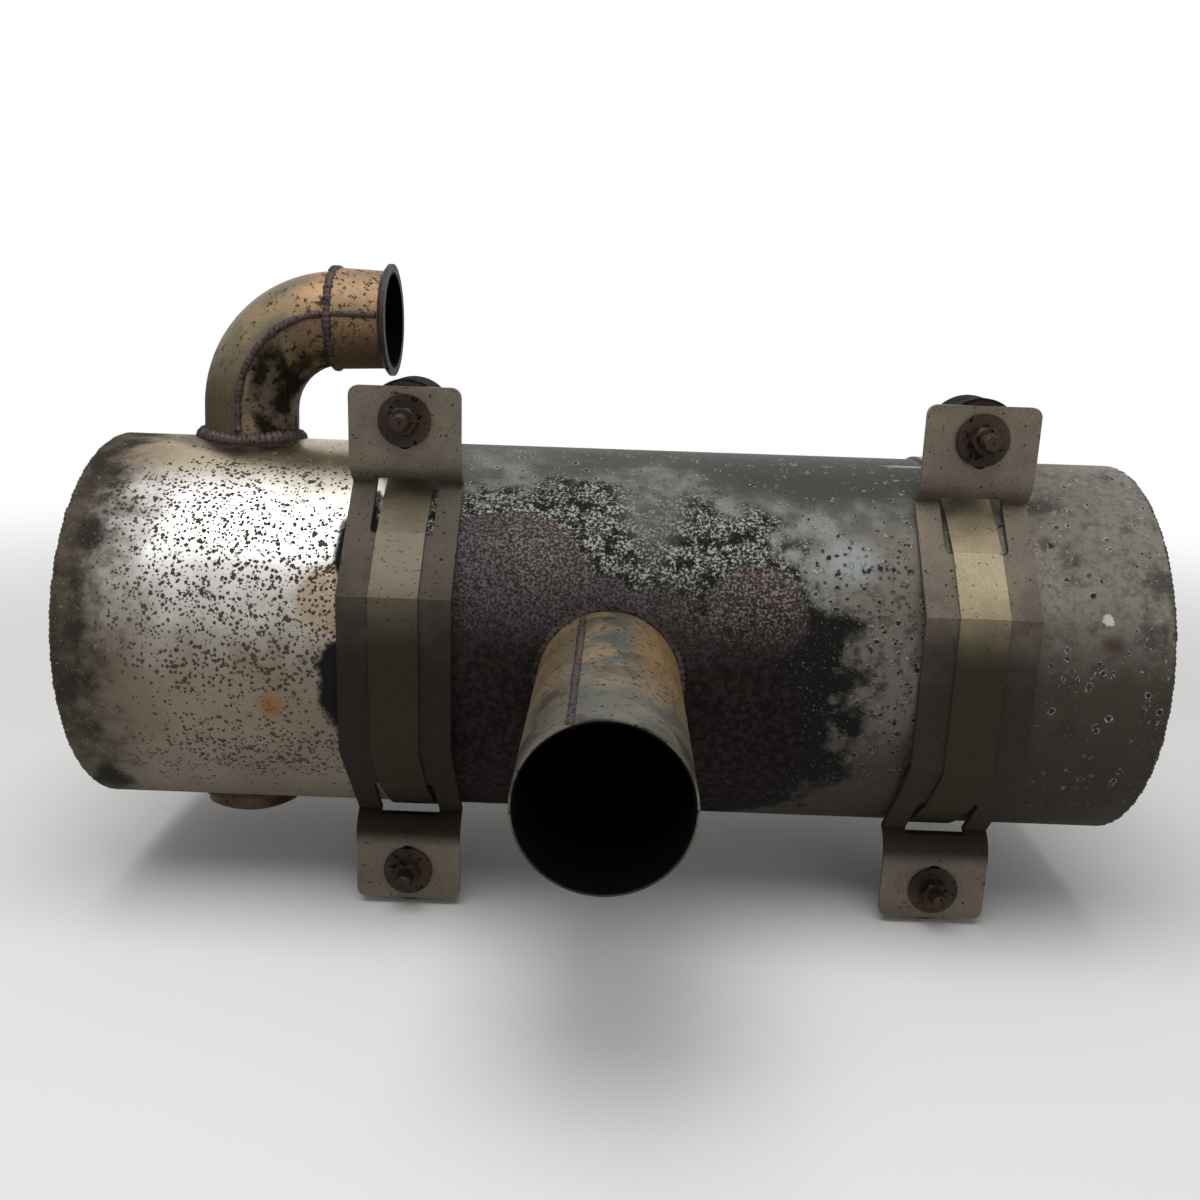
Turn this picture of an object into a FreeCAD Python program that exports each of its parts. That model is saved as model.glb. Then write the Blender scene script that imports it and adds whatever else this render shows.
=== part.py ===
"""Truck exhaust muffler: a cross-mounted round can with an elbow inlet, a
side outlet and two strapped saddle brackets that hang from rubber isolators.

X runs along the can to the right, -Y is the way the outlet points and +Z is up.
The origin is the centre of the four rear isolator studs, on the plane where
the isolators seat on the vehicle. The can's axis lies behind that plane.
"""

import FreeCAD, Part
import math
import os
import re

import Sketcher
from FreeCAD import Placement, Rotation, Vector

DOC = FreeCAD.newDocument("Muffler")

# Driving sizes in millimetres and degrees
SIZES = [
    ("shell_radius", 101.6, "outside radius of the can"),
    ("shell_wall", 1.6, "sheet of the can"),
    ("shell_length", 546.0, "length of the rolled can"),
    ("end_wall", 1.5, "sheet of the end plates and baffles"),
    ("end_recess", 14.0, "depth of an end plate's face below the can's edge"),
    ("end_knuckle", 3.0, "bevel between an end plate's lip and its face"),
    ("end_bead_radius", 58.0, "middle radius of the pressed stiffening ring"),
    ("end_bead_width", 26.0, "width of the pressed stiffening ring"),
    ("end_bead_rise", 5.0, "height of the pressed stiffening ring"),
    ("rim_weld", 2.0, "radius of the weld round each end"),
    ("slip_fit", 0.1, "clearance between tubes and plates that slide together"),
    ("hole_play", 0.4, "clearance of a tube in the hole that it is welded in"),
    ("axis_setback", 37.0, "can axis behind the isolators' seat plane"),
    ("hanger_spacing", 282.8, "distance between the two brackets"),
    ("stud_rise", 18.9, "studs beyond the can's top and bottom"),
    ("outlet_offset", 36.9, "outlet left of the middle of the brackets"),
    ("outlet_radius", 34.9, "outside radius of the outlet tube"),
    ("outlet_wall", 1.8, "wall of the outlet tube"),
    ("outlet_reach", 250.6, "can axis to the mouth of the outlet tube"),
    ("outlet_depth", 15.0, "can axis to the inner end of the outlet tube"),
    ("outlet_weld", 3.6, "radius of the weld round the outlet tube"),
    ("seam_weld", 2.2, "radius of the welds along the tubes"),
    ("can_seam_turn", 35.0, "turn of the can's seam below the back"),
    ("outlet_seam_turn", 22.0, "turn of the outlet's seam to the left of its top"),
    ("inlet_inset", 68.0, "can's left edge to the middle of the elbow"),
    ("inlet_tilt", 6.0, "lean of the elbow away from the outlet's side"),
    ("elbow_tube", 25.4, "outside radius of the elbow"),
    ("elbow_wall", 1.6, "wall of the elbow"),
    ("elbow_bend", 50.0, "bend radius of the elbow's middle line"),
    ("inlet_height", 168.0, "can axis to the middle line of the inlet"),
    ("elbow_stub", 6.0, "straight end of the elbow inside the collar"),
    ("elbow_weld", 3.2, "radius of the welds round the elbow"),
    ("collar_radius", 27.3, "outside radius of the collar at the elbow"),
    ("collar_neck", 26.3, "outside radius of the collar at the flange"),
    ("collar_length", 25.0, "elbow end of the collar to the flange"),
    ("flange_radius", 30.2, "outside radius of the clamp flange"),
    ("flange_thickness", 4.2, "thickness of the clamp flange"),
    ("flange_lip", 1.9, "straight rim of the clamp flange"),
    ("flange_foot", 0.8, "clamp flange beyond the collar at its back"),
    ("cross_wall", 1.5, "wall of the perforated cross tube"),
    ("cross_insert", 12.0, "length of the cross tube inside the elbow"),
    ("cap_skirt", 5.0, "straight side of the cross tube's cap"),
    ("cap_rise", 7.0, "height of the cap's dome"),
    ("cap_wall", 1.6, "sheet of the cap"),
    ("hole_radius", 3.0, "radius of a perforation"),
    ("hole_rows", 6, "rows of perforations"),
    ("holes_round", 8, "perforations in a row"),
    ("hole_pitch", 20.0, "distance between the rows"),
    ("left_chamber", 148.0, "can's left edge to the left baffle"),
    ("right_chamber", 168.0, "can's right edge to the right baffle"),
    ("baffle_flange", 12.0, "turned rim of a baffle"),
    ("transfer_radius", 22.0, "outside radius of the transfer tubes"),
    ("transfer_wall", 1.5, "wall of the transfer tubes"),
    ("transfer_stick", 30.0, "transfer tube beyond a baffle"),
    ("transfer_across", 48.0, "long transfer tube behind the can's axis"),
    ("transfer_down", 52.0, "short transfer tube below the can's axis"),
    ("saddle_width", 55.5, "width of a bracket"),
    ("saddle_wall", 3.0, "sheet of a bracket"),
    ("saddle_seat", 0.1, "clearance of a bracket on the can"),
    ("facet_angle", 41.0, "turn between a bracket's flat faces"),
    ("tab_rise", 35.4, "a tab's free edge beyond the can's top"),
    ("shelf_drop", 6.9, "corner of tab and shelf below the can's top"),
    ("shelf_slope", 35.0, "fall of the shelf towards the can"),
    ("tab_bend", 16.0, "outside radius of the bend below a tab"),
    ("tab_corner", 5.0, "rounded corner of a tab"),
    ("window_width", 31.4, "opening that the strap passes through"),
    ("window_drop", 10.6, "far edge of an opening below the can's top"),
    ("window_corner", 2.5, "rounded corner of an opening"),
    ("slot_radius", 4.6, "half width of a tab's slot"),
    ("slot_travel", 9.5, "distance between the ends of a tab's slot"),
    ("strap_width", 24.0, "width of a strap"),
    ("strap_wall", 1.5, "sheet of a strap"),
    ("strap_seat", 0.1, "clearance of a strap on the can"),
    ("strap_leave", 52.8, "where a strap meets the can above a bracket"),
    ("ear_gap", 26.0, "gap between the ears of a strap"),
    ("ear_height", 20.0, "height of a strap's ears"),
    ("ear_bolt", 3.0, "radius of the strap bolt"),
    ("ear_bolt_height", 12.0, "can to the middle of the strap bolt"),
    ("ear_hex", 5.77, "corner radius of the strap bolt's head and nut"),
    ("ear_nut", 5.0, "thickness of the strap bolt's head and nut"),
    ("ear_bolt_tail", 8.0, "strap bolt beyond its nut"),
    ("isolator_length", 30.0, "rubber isolator over its two plates"),
    ("isolator_radius", 20.0, "radius of the rubber"),
    ("isolator_waist", 1.5, "draw of the rubber at its middle"),
    ("isolator_band", 3.0, "straight rim of the rubber at each plate"),
    ("waist_length", 4.0, "length of the rubber's narrow middle"),
    ("plate_radius", 18.5, "radius of a bonded plate"),
    ("plate_wall", 2.0, "thickness of a bonded plate"),
    ("stud_radius", 4.0, "radius of a front stud"),
    ("rear_stud_radius", 5.0, "radius of a rear stud"),
    ("stud_tip", 16.2, "front stud beyond the tab"),
    ("rear_stud", 20.0, "rear stud beyond the seat plane"),
    ("stud_chamfer", 0.8, "chamfer of a stud's tip"),
    ("washer_radius", 13.0, "radius of a washer"),
    ("washer_wall", 1.8, "thickness of a washer"),
    ("thread_play", 0.2, "clearance of a nut's plain bore on its stud"),
    ("washer_play", 0.4, "clearance of a washer on its stud"),
    ("nut_corner", 7.5, "corner radius of a nut"),
    ("nut_height", 6.5, "height of a nut"),
    ("nut_chamfer", 1.2, "draw of a nut's corners at its crown"),
]

SHEET = DOC.addObject("Spreadsheet::Sheet", "Sizes")
for row, (alias, value, note) in enumerate(SIZES, start=1):
    SHEET.set(f"A{row}", alias.replace("_", " "))
    SHEET.set(f"B{row}", str(value))
    SHEET.set(f"C{row}", note)
    SHEET.setAlias(f"B{row}", alias)
DOC.recompute()

FAR = 400.0
PARTS = []
NAMES = re.compile(r"\b(" + "|".join(alias for alias, _, _ in SIZES) + r")\b")


def size(alias):
    """The number in a cell of the sheet."""
    return float(getattr(SHEET, alias))


def formula(text):
    """A formula with the names of sizes turned into references to the sheet."""
    return NAMES.sub(r"Sizes.\1", text)


def number(text):
    """The value of a formula."""
    found = SHEET.evalExpression(formula(text))
    return float(getattr(found, "Value", found))


def bind(item, **formulas):
    """Tie properties of an object to the sheet."""
    for name, text in formulas.items():
        item.setExpression(name.replace("__", "."), formula(text))
    return item


def put(item, east="0", back="0", up="0", axis=None, turn="0"):
    """Tie the place of an object to the sheet, and turn it about an axis."""
    if axis is not None:
        item.Placement = Placement(Vector(), Rotation(Vector(*axis), 1.0))
        bind(item, Placement__Rotation__Angle=turn)
    return bind(item, Placement__Base__x=east, Placement__Base__y=back, Placement__Base__z=up)


LEFT_EDGE = "0 - outlet_offset - shell_length / 2"
RIGHT_EDGE = "0 - outlet_offset + shell_length / 2"
INLET_AT = f"{LEFT_EDGE} + inlet_inset"

ALONG_X = ((0, 1, 0), "90")
FORWARD = ((1, 0, 0), "90")
BACKWARD = ((1, 0, 0), "-90")
INLET_UP = ((1, 0, 0), "0 - inlet_tilt")
INLET_DOWN = ((1, 0, 0), "180 - inlet_tilt")


def rod(name, radius, length, east="0", back="0", up="0", way=None):
    """A cylinder that starts at a point and runs one way."""
    item = bind(DOC.addObject("Part::Cylinder", name), Radius=radius, Height=length)
    axis, turn = way or (None, "0")
    return put(item, east, back, up, axis, turn)


def box(name, length, width, height, east, back, up):
    """A box from its lowest corner."""
    item = bind(DOC.addObject("Part::Box", name), Length=length, Width=width, Height=height)
    return put(item, east, back, up)


def fuse(name, *items):
    """One solid out of several."""
    item = DOC.addObject("Part::MultiFuse", name)
    item.Shapes = list(items)
    return item


def cut(name, base, *tools):
    """A solid with others taken out of it."""
    item = DOC.addObject("Part::Cut", name)
    item.Base = base
    item.Tool = tools[0] if len(tools) == 1 else fuse(f"{name}_tools", *tools)
    return item


def common(name, first, second):
    """What two solids share."""
    item = DOC.addObject("Part::Common", name)
    item.Base = first
    item.Tool = second
    return item


def shared(name, make):
    """A cutting form that several sub-parts use, made once."""
    return DOC.getObject(name) or make(name)


def can_form():
    """The outside of the can, longer than the real one."""
    return shared("can_form", lambda name: rod(name, "shell_radius", f"{FAR}", f"0 - {FAR} / 2", way=ALONG_X))


def keep(item, label, east="0", back="axis_setback", up="0", axis=None, turn="0"):
    """Name a finished sub-part and put it in the part's frame."""
    put(item, east, back, up, axis, turn)
    item.Label = label
    PARTS.append(item)
    return item


def keep_on_inlet(item, label):
    """Name a sub-part that was built on an upright inlet, and lean it."""
    return keep(item, label, east=INLET_AT, axis=INLET_UP[0], turn=INLET_UP[1])


def new_body(name):
    """A body with its own origin planes."""
    return DOC.addObject("PartDesign::Body", name)


def plane(body, role):
    """One of a body's own origin planes."""
    return next(item for item in body.Origin.OriginFeatures if item.Role == role)


def new_sketch(body, name, role):
    """An empty sketch on one of a body's origin planes."""
    sketch = body.newObject("Sketcher::SketchObject", name)
    sketch.AttachmentSupport = [(plane(body, role), "")]
    sketch.MapMode = "FlatFace"
    return sketch


def pin(sketch, kind, geometry, point, text):
    """Tie a point of a sketch to a distance from the sketch's origin."""
    if text == "0":
        line = -2 if kind == "DistanceX" else -1
        sketch.addConstraint(Sketcher.Constraint("PointOnObject", geometry, point, line))
        return
    index = sketch.addConstraint(Sketcher.Constraint(kind, -1, 1, geometry, point, number(text)))
    sketch.setExpression(f"Constraints[{index}]", formula(text))


def outline(body, name, role, corners):
    """A sketch of one closed outline with straight sides."""
    sketch = new_sketch(body, name, role)
    places = [Vector(number(x), number(y), 0) for x, y in corners]
    for start, end in zip(places, places[1:] + places[:1]):
        sketch.addGeometry(Part.LineSegment(start, end))
    count = len(corners)
    for index in range(count):
        sketch.addConstraint(Sketcher.Constraint("Coincident", index, 2, (index + 1) % count, 1))
    for index, (x, y) in enumerate(corners):
        pin(sketch, "DistanceX", index, 1, x)
        pin(sketch, "DistanceY", index, 1, y)
    return sketch


def ring(body, name, role, radius, x="0", y="0"):
    """A sketch of one circle."""
    sketch = new_sketch(body, name, role)
    centre = Vector(number(x), number(y), 0)
    sketch.addGeometry(Part.Circle(centre, Vector(0, 0, 1), number(radius)))
    index = sketch.addConstraint(Sketcher.Constraint("Radius", 0, number(radius)))
    sketch.setExpression(f"Constraints[{index}]", formula(radius))
    pin(sketch, "DistanceX", 0, 3, x)
    pin(sketch, "DistanceY", 0, 3, y)
    return sketch


def slot(body, name, role, radius, x, low, high):
    """A sketch of one upright slot."""
    sketch = new_sketch(body, name, role)
    east, wide = number(x), number(radius)
    bottom, top = Vector(east, number(low), 0), Vector(east, number(high), 0)
    up = Vector(0, 0, 1)
    side = Vector(wide, 0, 0)
    sketch.addGeometry(Part.ArcOfCircle(Part.Circle(top, up, wide), 0, math.pi))
    sketch.addGeometry(Part.LineSegment(top - side, bottom - side))
    sketch.addGeometry(Part.ArcOfCircle(Part.Circle(bottom, up, wide), math.pi, 2 * math.pi))
    sketch.addGeometry(Part.LineSegment(bottom + side, top + side))
    for first, end, second, start in ((0, 2, 1, 1), (1, 2, 2, 1), (2, 2, 3, 1), (3, 2, 0, 1)):
        sketch.addConstraint(Sketcher.Constraint("Tangent", first, end, second, start))
    index = sketch.addConstraint(Sketcher.Constraint("Radius", 0, wide))
    sketch.setExpression(f"Constraints[{index}]", formula(radius))
    pin(sketch, "DistanceX", 0, 3, x)
    pin(sketch, "DistanceY", 0, 3, high)
    pin(sketch, "DistanceY", 2, 3, low)
    return sketch


def pad(body, sketch, length, backwards=False):
    """Thicken a sketch into a solid."""
    item = body.newObject("PartDesign::Pad", f"{sketch.Name}_pad")
    item.Profile = sketch
    item.Reversed = backwards
    return bind(item, Length=length)


def pocket(body, sketch, backwards=False):
    """Cut a sketch right through the solid."""
    DOC.recompute()
    before = body.Shape.Volume
    item = body.newObject("PartDesign::Pocket", f"{sketch.Name}_pocket")
    item.Profile = sketch
    item.Type = "ThroughAll"
    item.Reversed = backwards
    DOC.recompute()
    if not item.Shape.Volume < before:
        raise RuntimeError(f"{item.Name} cut nothing")
    return item


def round_edges(body, name, radius, wanted):
    """Round the edges that a test picks out."""
    DOC.recompute()
    base = body.Tip
    if base.Shape.isNull():
        raise RuntimeError(f"{base.Name} made no shape")
    picked = [f"Edge{n}" for n, edge in enumerate(base.Shape.Edges, start=1) if wanted(edge)]
    if not picked:
        raise RuntimeError(f"{name} found no edges")
    item = body.newObject("PartDesign::Fillet", name)
    item.Base = (base, picked)
    bind(item, Radius=radius)
    return item


def revolve(name, corners):
    """A body turned about X: each corner is a place along X and a radius."""
    body = new_body(name)
    sketch = outline(body, f"{name}_profile", "XY_Plane", corners)
    item = body.newObject("PartDesign::Revolution", f"{name}_turn")
    item.Profile = sketch
    item.ReferenceAxis = (sketch, ["H_Axis"])
    item.Angle = 360
    return body


def straight(edge, way, tolerance=1e-4):
    """Whether an edge is a straight line along an axis."""
    if edge.Curve.TypeId != "Part::GeomLine":
        return False
    line = edge.Vertexes[-1].Point - edge.Vertexes[0].Point
    return line.Length > tolerance and abs(abs(line.normalize().dot(way)) - 1) < tolerance


# Can
def make_shell():
    """The rolled can with its holes for the outlet and the cross tube."""
    outside = rod("can_outside", "shell_radius", "shell_length", LEFT_EDGE, way=ALONG_X)
    inside = rod("can_inside", "shell_radius - shell_wall", "shell_length + 2",
                 f"{LEFT_EDGE} - 1", way=ALONG_X)
    cross = "elbow_tube - elbow_wall - slip_fit + hole_play"
    tools = [
        inside,
        rod("outlet_hole", "outlet_radius + hole_play", "2 * shell_radius",
            "0 - outlet_offset", way=FORWARD),
        rod("inlet_hole", cross, "2 * shell_radius", INLET_AT, way=INLET_UP),
        rod("cap_hole", cross, "2 * shell_radius", INLET_AT, way=INLET_DOWN),
    ]
    keep(cut("shell", outside, *tools), "shell")


def make_end_plate(side, way):
    """A pressed end plate: its lip lies inside the can and its face has a raised ring."""
    lip = "shell_radius - shell_wall - slip_fit"
    wall = "end_wall"
    low = "end_bead_radius - end_bead_width / 2"
    high = "end_bead_radius + end_bead_width / 2"
    face = "end_recess"
    crest = "end_recess - end_bead_rise"
    miter = f"{wall} * tan(22.5 deg )"
    corners = [
        ("0", lip), ("0", f"{lip} - {wall}"),
        (f"{face} - end_knuckle", f"{lip} - {wall}"), (face, f"{lip} - {wall} - end_knuckle"),
        (face, high), (crest, f"{high} - end_bead_rise"),
        (crest, f"{low} + end_bead_rise"), (face, low), (face, "0"),
        (f"{face} + {wall}", "0"), (f"{face} + {wall}", f"{low} + {wall} / 2"),
        (f"{crest} + {wall}", f"{low} + end_bead_rise + {wall} / 2"),
        (f"{crest} + {wall}", f"{high} - end_bead_rise - {wall} / 2"),
        (f"{face} + {wall}", f"{high} - {wall} / 2"),
        (f"{face} + {wall}", f"{lip} - {wall} - end_knuckle + {miter}"),
        (f"{face} - end_knuckle + {miter}", lip),
    ]
    plate = revolve(f"{side}_plate", corners)
    keep(plate, f"{side}_end_plate", east=LEFT_EDGE if way > 0 else RIGHT_EDGE,
         axis=(0, 0, 1), turn="0" if way > 0 else "180")


def make_rim_weld(side, way):
    """The weld that joins the can's edge to the end plate's lip."""
    bead = bind(DOC.addObject("Part::Torus", f"{side}_rim_bead"),
                Radius1="shell_radius - shell_wall", Radius2="rim_weld")
    put(bead, east=LEFT_EDGE if way > 0 else RIGHT_EDGE, axis=ALONG_X[0], turn=ALONG_X[1])
    can = rod(f"{side}_rim_can", "shell_radius", "shell_length", LEFT_EDGE, way=ALONG_X)
    keep(cut(f"{side}_rim", bead, can), f"{side}_rim_weld")


def make_shell_seam():
    """The weld along the can where its rolled sheet meets, ground flush below the straps."""
    bead = rod("can_seam_bead", "seam_weld", "shell_length - 4 * rim_weld", f"{LEFT_EDGE} + 2 * rim_weld",
               "( shell_radius - seam_weld / 2 ) * cos(can_seam_turn * 1 deg )",
               "0 - ( shell_radius - seam_weld / 2 ) * sin(can_seam_turn * 1 deg )", way=ALONG_X)
    reliefs = [
        rod(f"can_seam_relief_{side}", "2 * shell_radius", "strap_width + 2 * seam_weld",
            f"{way} * hanger_spacing / 2 - strap_width / 2 - seam_weld", way=ALONG_X)
        for side, way in (("left", -1), ("right", 1))
    ]
    can = rod("can_seam_can", "shell_radius", "shell_length", LEFT_EDGE, way=ALONG_X)
    keep(cut("can_seam", bead, can, *reliefs), "shell_seam_weld")


# Inside of the can
def make_baffle(side, east, holes):
    """A flanged baffle with the holes for its transfer tubes."""
    inner = "shell_radius - shell_wall - slip_fit"
    disc = rod(f"{side}_disc", inner, "end_wall", east, way=ALONG_X)
    rim = rod(f"{side}_rim_outside", inner, "baffle_flange", east, way=ALONG_X)
    core = rod(f"{side}_rim_inside", f"{inner} - end_wall", "baffle_flange",
               f"{east} + end_wall", way=ALONG_X)
    pan = cut(f"{side}_pan", fuse(f"{side}_blank", disc, rim), core)
    tools = [
        rod(f"{side}_hole_{n}", "transfer_radius + slip_fit", "4 * baffle_flange",
            f"{east} - 2 * baffle_flange", back, up, ALONG_X)
        for n, (back, up) in enumerate(holes)
    ]
    keep(cut(f"{side}_baffle_cut", pan, *tools), f"baffle_{side}")


LEFT_BAFFLE = f"{LEFT_EDGE} + left_chamber"
RIGHT_BAFFLE = f"{RIGHT_EDGE} - right_chamber"
LONG_TUBE = ("transfer_across", "transfer_across / 2")
SHORT_TUBE = ("0", "0 - transfer_down")


def make_transfer_tube(name, start, end, place):
    """A tube that carries the gas through the baffles."""
    back, up = place
    outside = rod(f"{name}_outside", "transfer_radius", f"{end} - ( {start} )", start, back, up, ALONG_X)
    inside = rod(f"{name}_inside", "transfer_radius - transfer_wall", f"{end} - ( {start} ) + 2",
                 f"{start} - 1", back, up, ALONG_X)
    keep(cut(name, outside, inside), f"transfer_tube_{name}")


def make_cross_tube():
    """The perforated inlet tube that crosses the can, built upright."""
    radius = "elbow_tube - elbow_wall - slip_fit"
    length = "2 * shell_radius + cap_skirt + cross_insert"
    bottom = "0 - shell_radius - cap_skirt"
    outside = rod("cross_outside", radius, length, up=bottom)
    inside = rod("cross_inside", f"{radius} - cross_wall", f"{length} + 2", up=f"{bottom} - 1")
    rows, around = int(size("hole_rows")), int(size("holes_round"))
    holes = []
    for row in range(rows):
        height = f"( {row} - ( hole_rows - 1 ) / 2 ) * hole_pitch"
        for place in range(around):
            turn = 360.0 * (place + 0.5 * (row % 2)) / around
            hole = rod(f"hole_{row}_{place}", "hole_radius", "elbow_tube")
            hole.Placement = Placement(
                Vector(), Rotation(Vector(0, 0, 1), turn) * Rotation(Vector(0, 1, 0), 90))
            holes.append(put(hole, f"elbow_tube / 2 * cos({turn} deg)",
                             f"elbow_tube / 2 * sin({turn} deg)", height))
    pattern = DOC.addObject("Part::Compound", "perforations")
    pattern.Links = holes
    keep_on_inlet(cut("cross_tube", cut("cross_wall_tube", outside, inside), pattern), "inlet_cross_tube")


# Elbow and inlet, built upright and then leaned
def elbow_solid(name, radius, grow="0"):
    """The elbow's form: a straight leg, a quarter bend and a straight stub."""
    bend = bind(DOC.addObject("Part::Torus", f"{name}_bend"), Radius1="elbow_bend", Radius2=radius)
    bend.Angle3 = 90
    bend.Placement = Placement(Vector(), Rotation(Vector(1, 0, 0), 90) * Rotation(Vector(0, 0, 1), 90))
    put(bend, east="elbow_bend", up="inlet_height - elbow_bend")
    leg = rod(f"{name}_leg", radius, "inlet_height - elbow_bend - shell_radius / 2", up="shell_radius / 2")
    stub = rod(f"{name}_stub", radius, f"elbow_stub + {grow}", "elbow_bend", up="inlet_height", way=ALONG_X)
    return fuse(f"{name}_form", bend, leg, stub)


def elbow_inner_region(name):
    """The space on the inner side of the elbow's middle line."""
    disc = rod(f"{name}_disc", "elbow_bend", "4 * elbow_tube", "elbow_bend", "2 * elbow_tube",
               "inlet_height - elbow_bend", FORWARD)
    low = box(f"{name}_low", "4 * elbow_bend", "4 * elbow_tube", "inlet_height - elbow_bend",
              "0", "0 - 2 * elbow_tube", "0")
    right = box(f"{name}_right", "3 * elbow_bend", "4 * elbow_tube", "inlet_height",
                "elbow_bend", "0 - 2 * elbow_tube", "0")
    return fuse(name, disc, low, right)


def elbow_form():
    """The outside of the elbow as one solid."""
    return shared("elbow_outside_form", lambda name: elbow_solid("elbow_outside", "elbow_tube"))


def make_elbow():
    """Two pressed halves that meet along the elbow's middle line."""
    bore = elbow_solid("elbow_inside", "elbow_tube - elbow_wall", "1")
    pipe = cut("elbow_pipe", cut("elbow_hollow", elbow_form(), bore), can_form())
    region = elbow_inner_region("elbow_region")
    keep_on_inlet(cut("outer_half", pipe, region), "elbow_outer_half")
    keep_on_inlet(common("inner_half", pipe, region), "elbow_inner_half")


COLLAR_BEAD = "elbow_bend - 0.6 * elbow_weld"


def make_elbow_seam(side, way):
    """The weld between the elbow's halves, on one side of it."""
    across = f"{way} * elbow_tube"
    bend = bind(DOC.addObject("Part::Torus", f"{side}_seam_bend"), Radius1="elbow_bend", Radius2="seam_weld")
    bend.Angle3 = 90
    bend.Placement = Placement(Vector(), Rotation(Vector(1, 0, 0), 90) * Rotation(Vector(0, 0, 1), 90))
    put(bend, east="elbow_bend", back=across, up="inlet_height - elbow_bend")
    leg = rod(f"{side}_seam_leg", "seam_weld", "inlet_height - elbow_bend", "0", across)
    collar = rod(f"{side}_seam_collar", "collar_radius + elbow_weld", "elbow_bend",
                 f"{COLLAR_BEAD} - elbow_weld", up="inlet_height", way=ALONG_X)
    foot = rod(f"{side}_seam_foot", "shell_radius + elbow_weld + slip_fit", f"{FAR}",
               f"0 - {FAR} / 2", way=ALONG_X)
    bead = cut(f"{side}_seam_bead", fuse(f"{side}_seam_run", bend, leg), collar, foot)
    keep_on_inlet(cut(f"{side}_seam_trim", bead, elbow_form()), f"elbow_seam_weld_{side}")


def half_bead(name, radius, bead, first, stations=6):
    """Half of a round bead along the line where an upright tube meets the can."""
    tube, can, wire = number(radius), size("shell_radius"), number(bead)
    rings = []
    for station in range(stations + 1):
        turn = math.pi * (first + station / stations)
        east, across = tube * math.cos(turn), tube * math.sin(turn)
        up = math.sqrt(can * can - across * across)
        way = Vector(-across, east, -across * east / up)
        rings.append(Part.Wire(Part.Circle(Vector(east, across, up), way, wire).toShape()))
    item = DOC.addObject("Part::Feature", name)
    item.Shape = Part.makeLoft(rings, True, False)
    return item


def bead_on_can(name, radius, bead):
    """The whole bead, with the tube and the can taken out of it."""
    tube = rod(f"{name}_tube", radius, f"{FAR}")
    halves = []
    for first in (0, 1):
        half = half_bead(f"{name}_bead_{first}", radius, bead, first)
        halves.append(cut(f"{name}_half_{first}", cut(f"{name}_ring_{first}", half, tube), can_form()))
    return fuse(f"{name}_both", *halves)


def make_base_weld(label, radius, bead, inlet):
    """The weld between a tube and the can."""
    weld = bead_on_can(f"{label}_form", radius, bead)
    if inlet:
        keep_on_inlet(weld, label)
    else:
        keep(weld, label, east="0 - outlet_offset", axis=FORWARD[0], turn=FORWARD[1])


def make_collar():
    """The collar that slides over the elbow's end and necks down to the flange."""
    fit = "elbow_tube + slip_fit"
    step = "elbow_stub + hole_play"
    bore = "collar_neck - elbow_wall"
    corners = [
        ("0", fit), ("0", "collar_radius"), ("collar_length", "collar_neck"),
        ("collar_length", bore), (f"{step} + elbow_wall", bore), (step, fit),
    ]
    keep_on_inlet_end(revolve("collar", corners), "inlet_collar", "elbow_bend")


def keep_on_inlet_end(item, label, along):
    """Name a sub-part that was turned about the inlet's middle line, and put it there."""
    east = f"{INLET_AT} + {along}"
    back = "axis_setback + inlet_height * sin(inlet_tilt * 1 deg )"
    up = "inlet_height * cos(inlet_tilt * 1 deg )"
    return keep(item, label, east, back, up, INLET_UP[0], INLET_UP[1])


def make_flange():
    """The clamp flange: flat towards the pipe, sloped behind for a band clamp."""
    bore = "collar_neck - elbow_wall"
    corners = [
        ("0", bore), ("0", "collar_neck + flange_foot"),
        ("flange_thickness - flange_lip", "flange_radius"), ("flange_thickness", "flange_radius"),
        ("flange_thickness", bore),
    ]
    keep_on_inlet_end(revolve("flange", corners), "inlet_flange", "elbow_bend + collar_length")


def collar_bead(name):
    """A full ring of weld round the elbow, against the collar's edge."""
    bead = bind(DOC.addObject("Part::Torus", name),
                Radius1="elbow_tube + 0.4 * elbow_weld", Radius2="elbow_weld")
    return put(bead, east=COLLAR_BEAD, up="inlet_height", axis=ALONG_X[0], turn=ALONG_X[1])


def make_collar_weld():
    """The weld that closes the collar on the elbow."""
    sleeve = rod("collar_weld_sleeve", "collar_radius", "collar_length", "elbow_bend",
                 up="inlet_height", way=ALONG_X)
    outside = cut("collar_ring_outside", collar_bead("collar_bead"), elbow_form())
    keep_on_inlet(cut("collar_ring", outside, sleeve), "inlet_collar_weld")


def make_collar_seam():
    """The weld along the collar's near side."""
    bead = rod("collar_seam_bead", "0.8 * seam_weld", "collar_length - 0.6 * elbow_weld",
               "elbow_bend + 0.6 * elbow_weld", "0 - ( collar_radius + collar_neck ) / 2",
               "inlet_height", ALONG_X)
    cone = bind(DOC.addObject("Part::Cone", "collar_seam_cone"),
                Radius1="collar_radius", Radius2="collar_neck", Height="collar_length")
    put(cone, east="elbow_bend", up="inlet_height", axis=ALONG_X[0], turn=ALONG_X[1])
    keep_on_inlet(cut("collar_seam", bead, collar_bead("collar_seam_ring"), cone), "inlet_collar_seam_weld")


def domed(name, radius, height, rise):
    """A round bar with a dome on its end."""
    ball = f"( ( {radius} ) ^ 2 + ( {rise} ) ^ 2 ) / ( 2 * ( {rise} ) )"
    dome = bind(DOC.addObject("Part::Sphere", f"{name}_dome"), Radius=ball)
    put(dome, up=f"{height} + {rise} - {ball}")
    side = rod(f"{name}_side", radius, f"{height} + {rise} - shell_radius / 2", up="shell_radius / 2")
    return common(name, side, dome)


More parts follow.
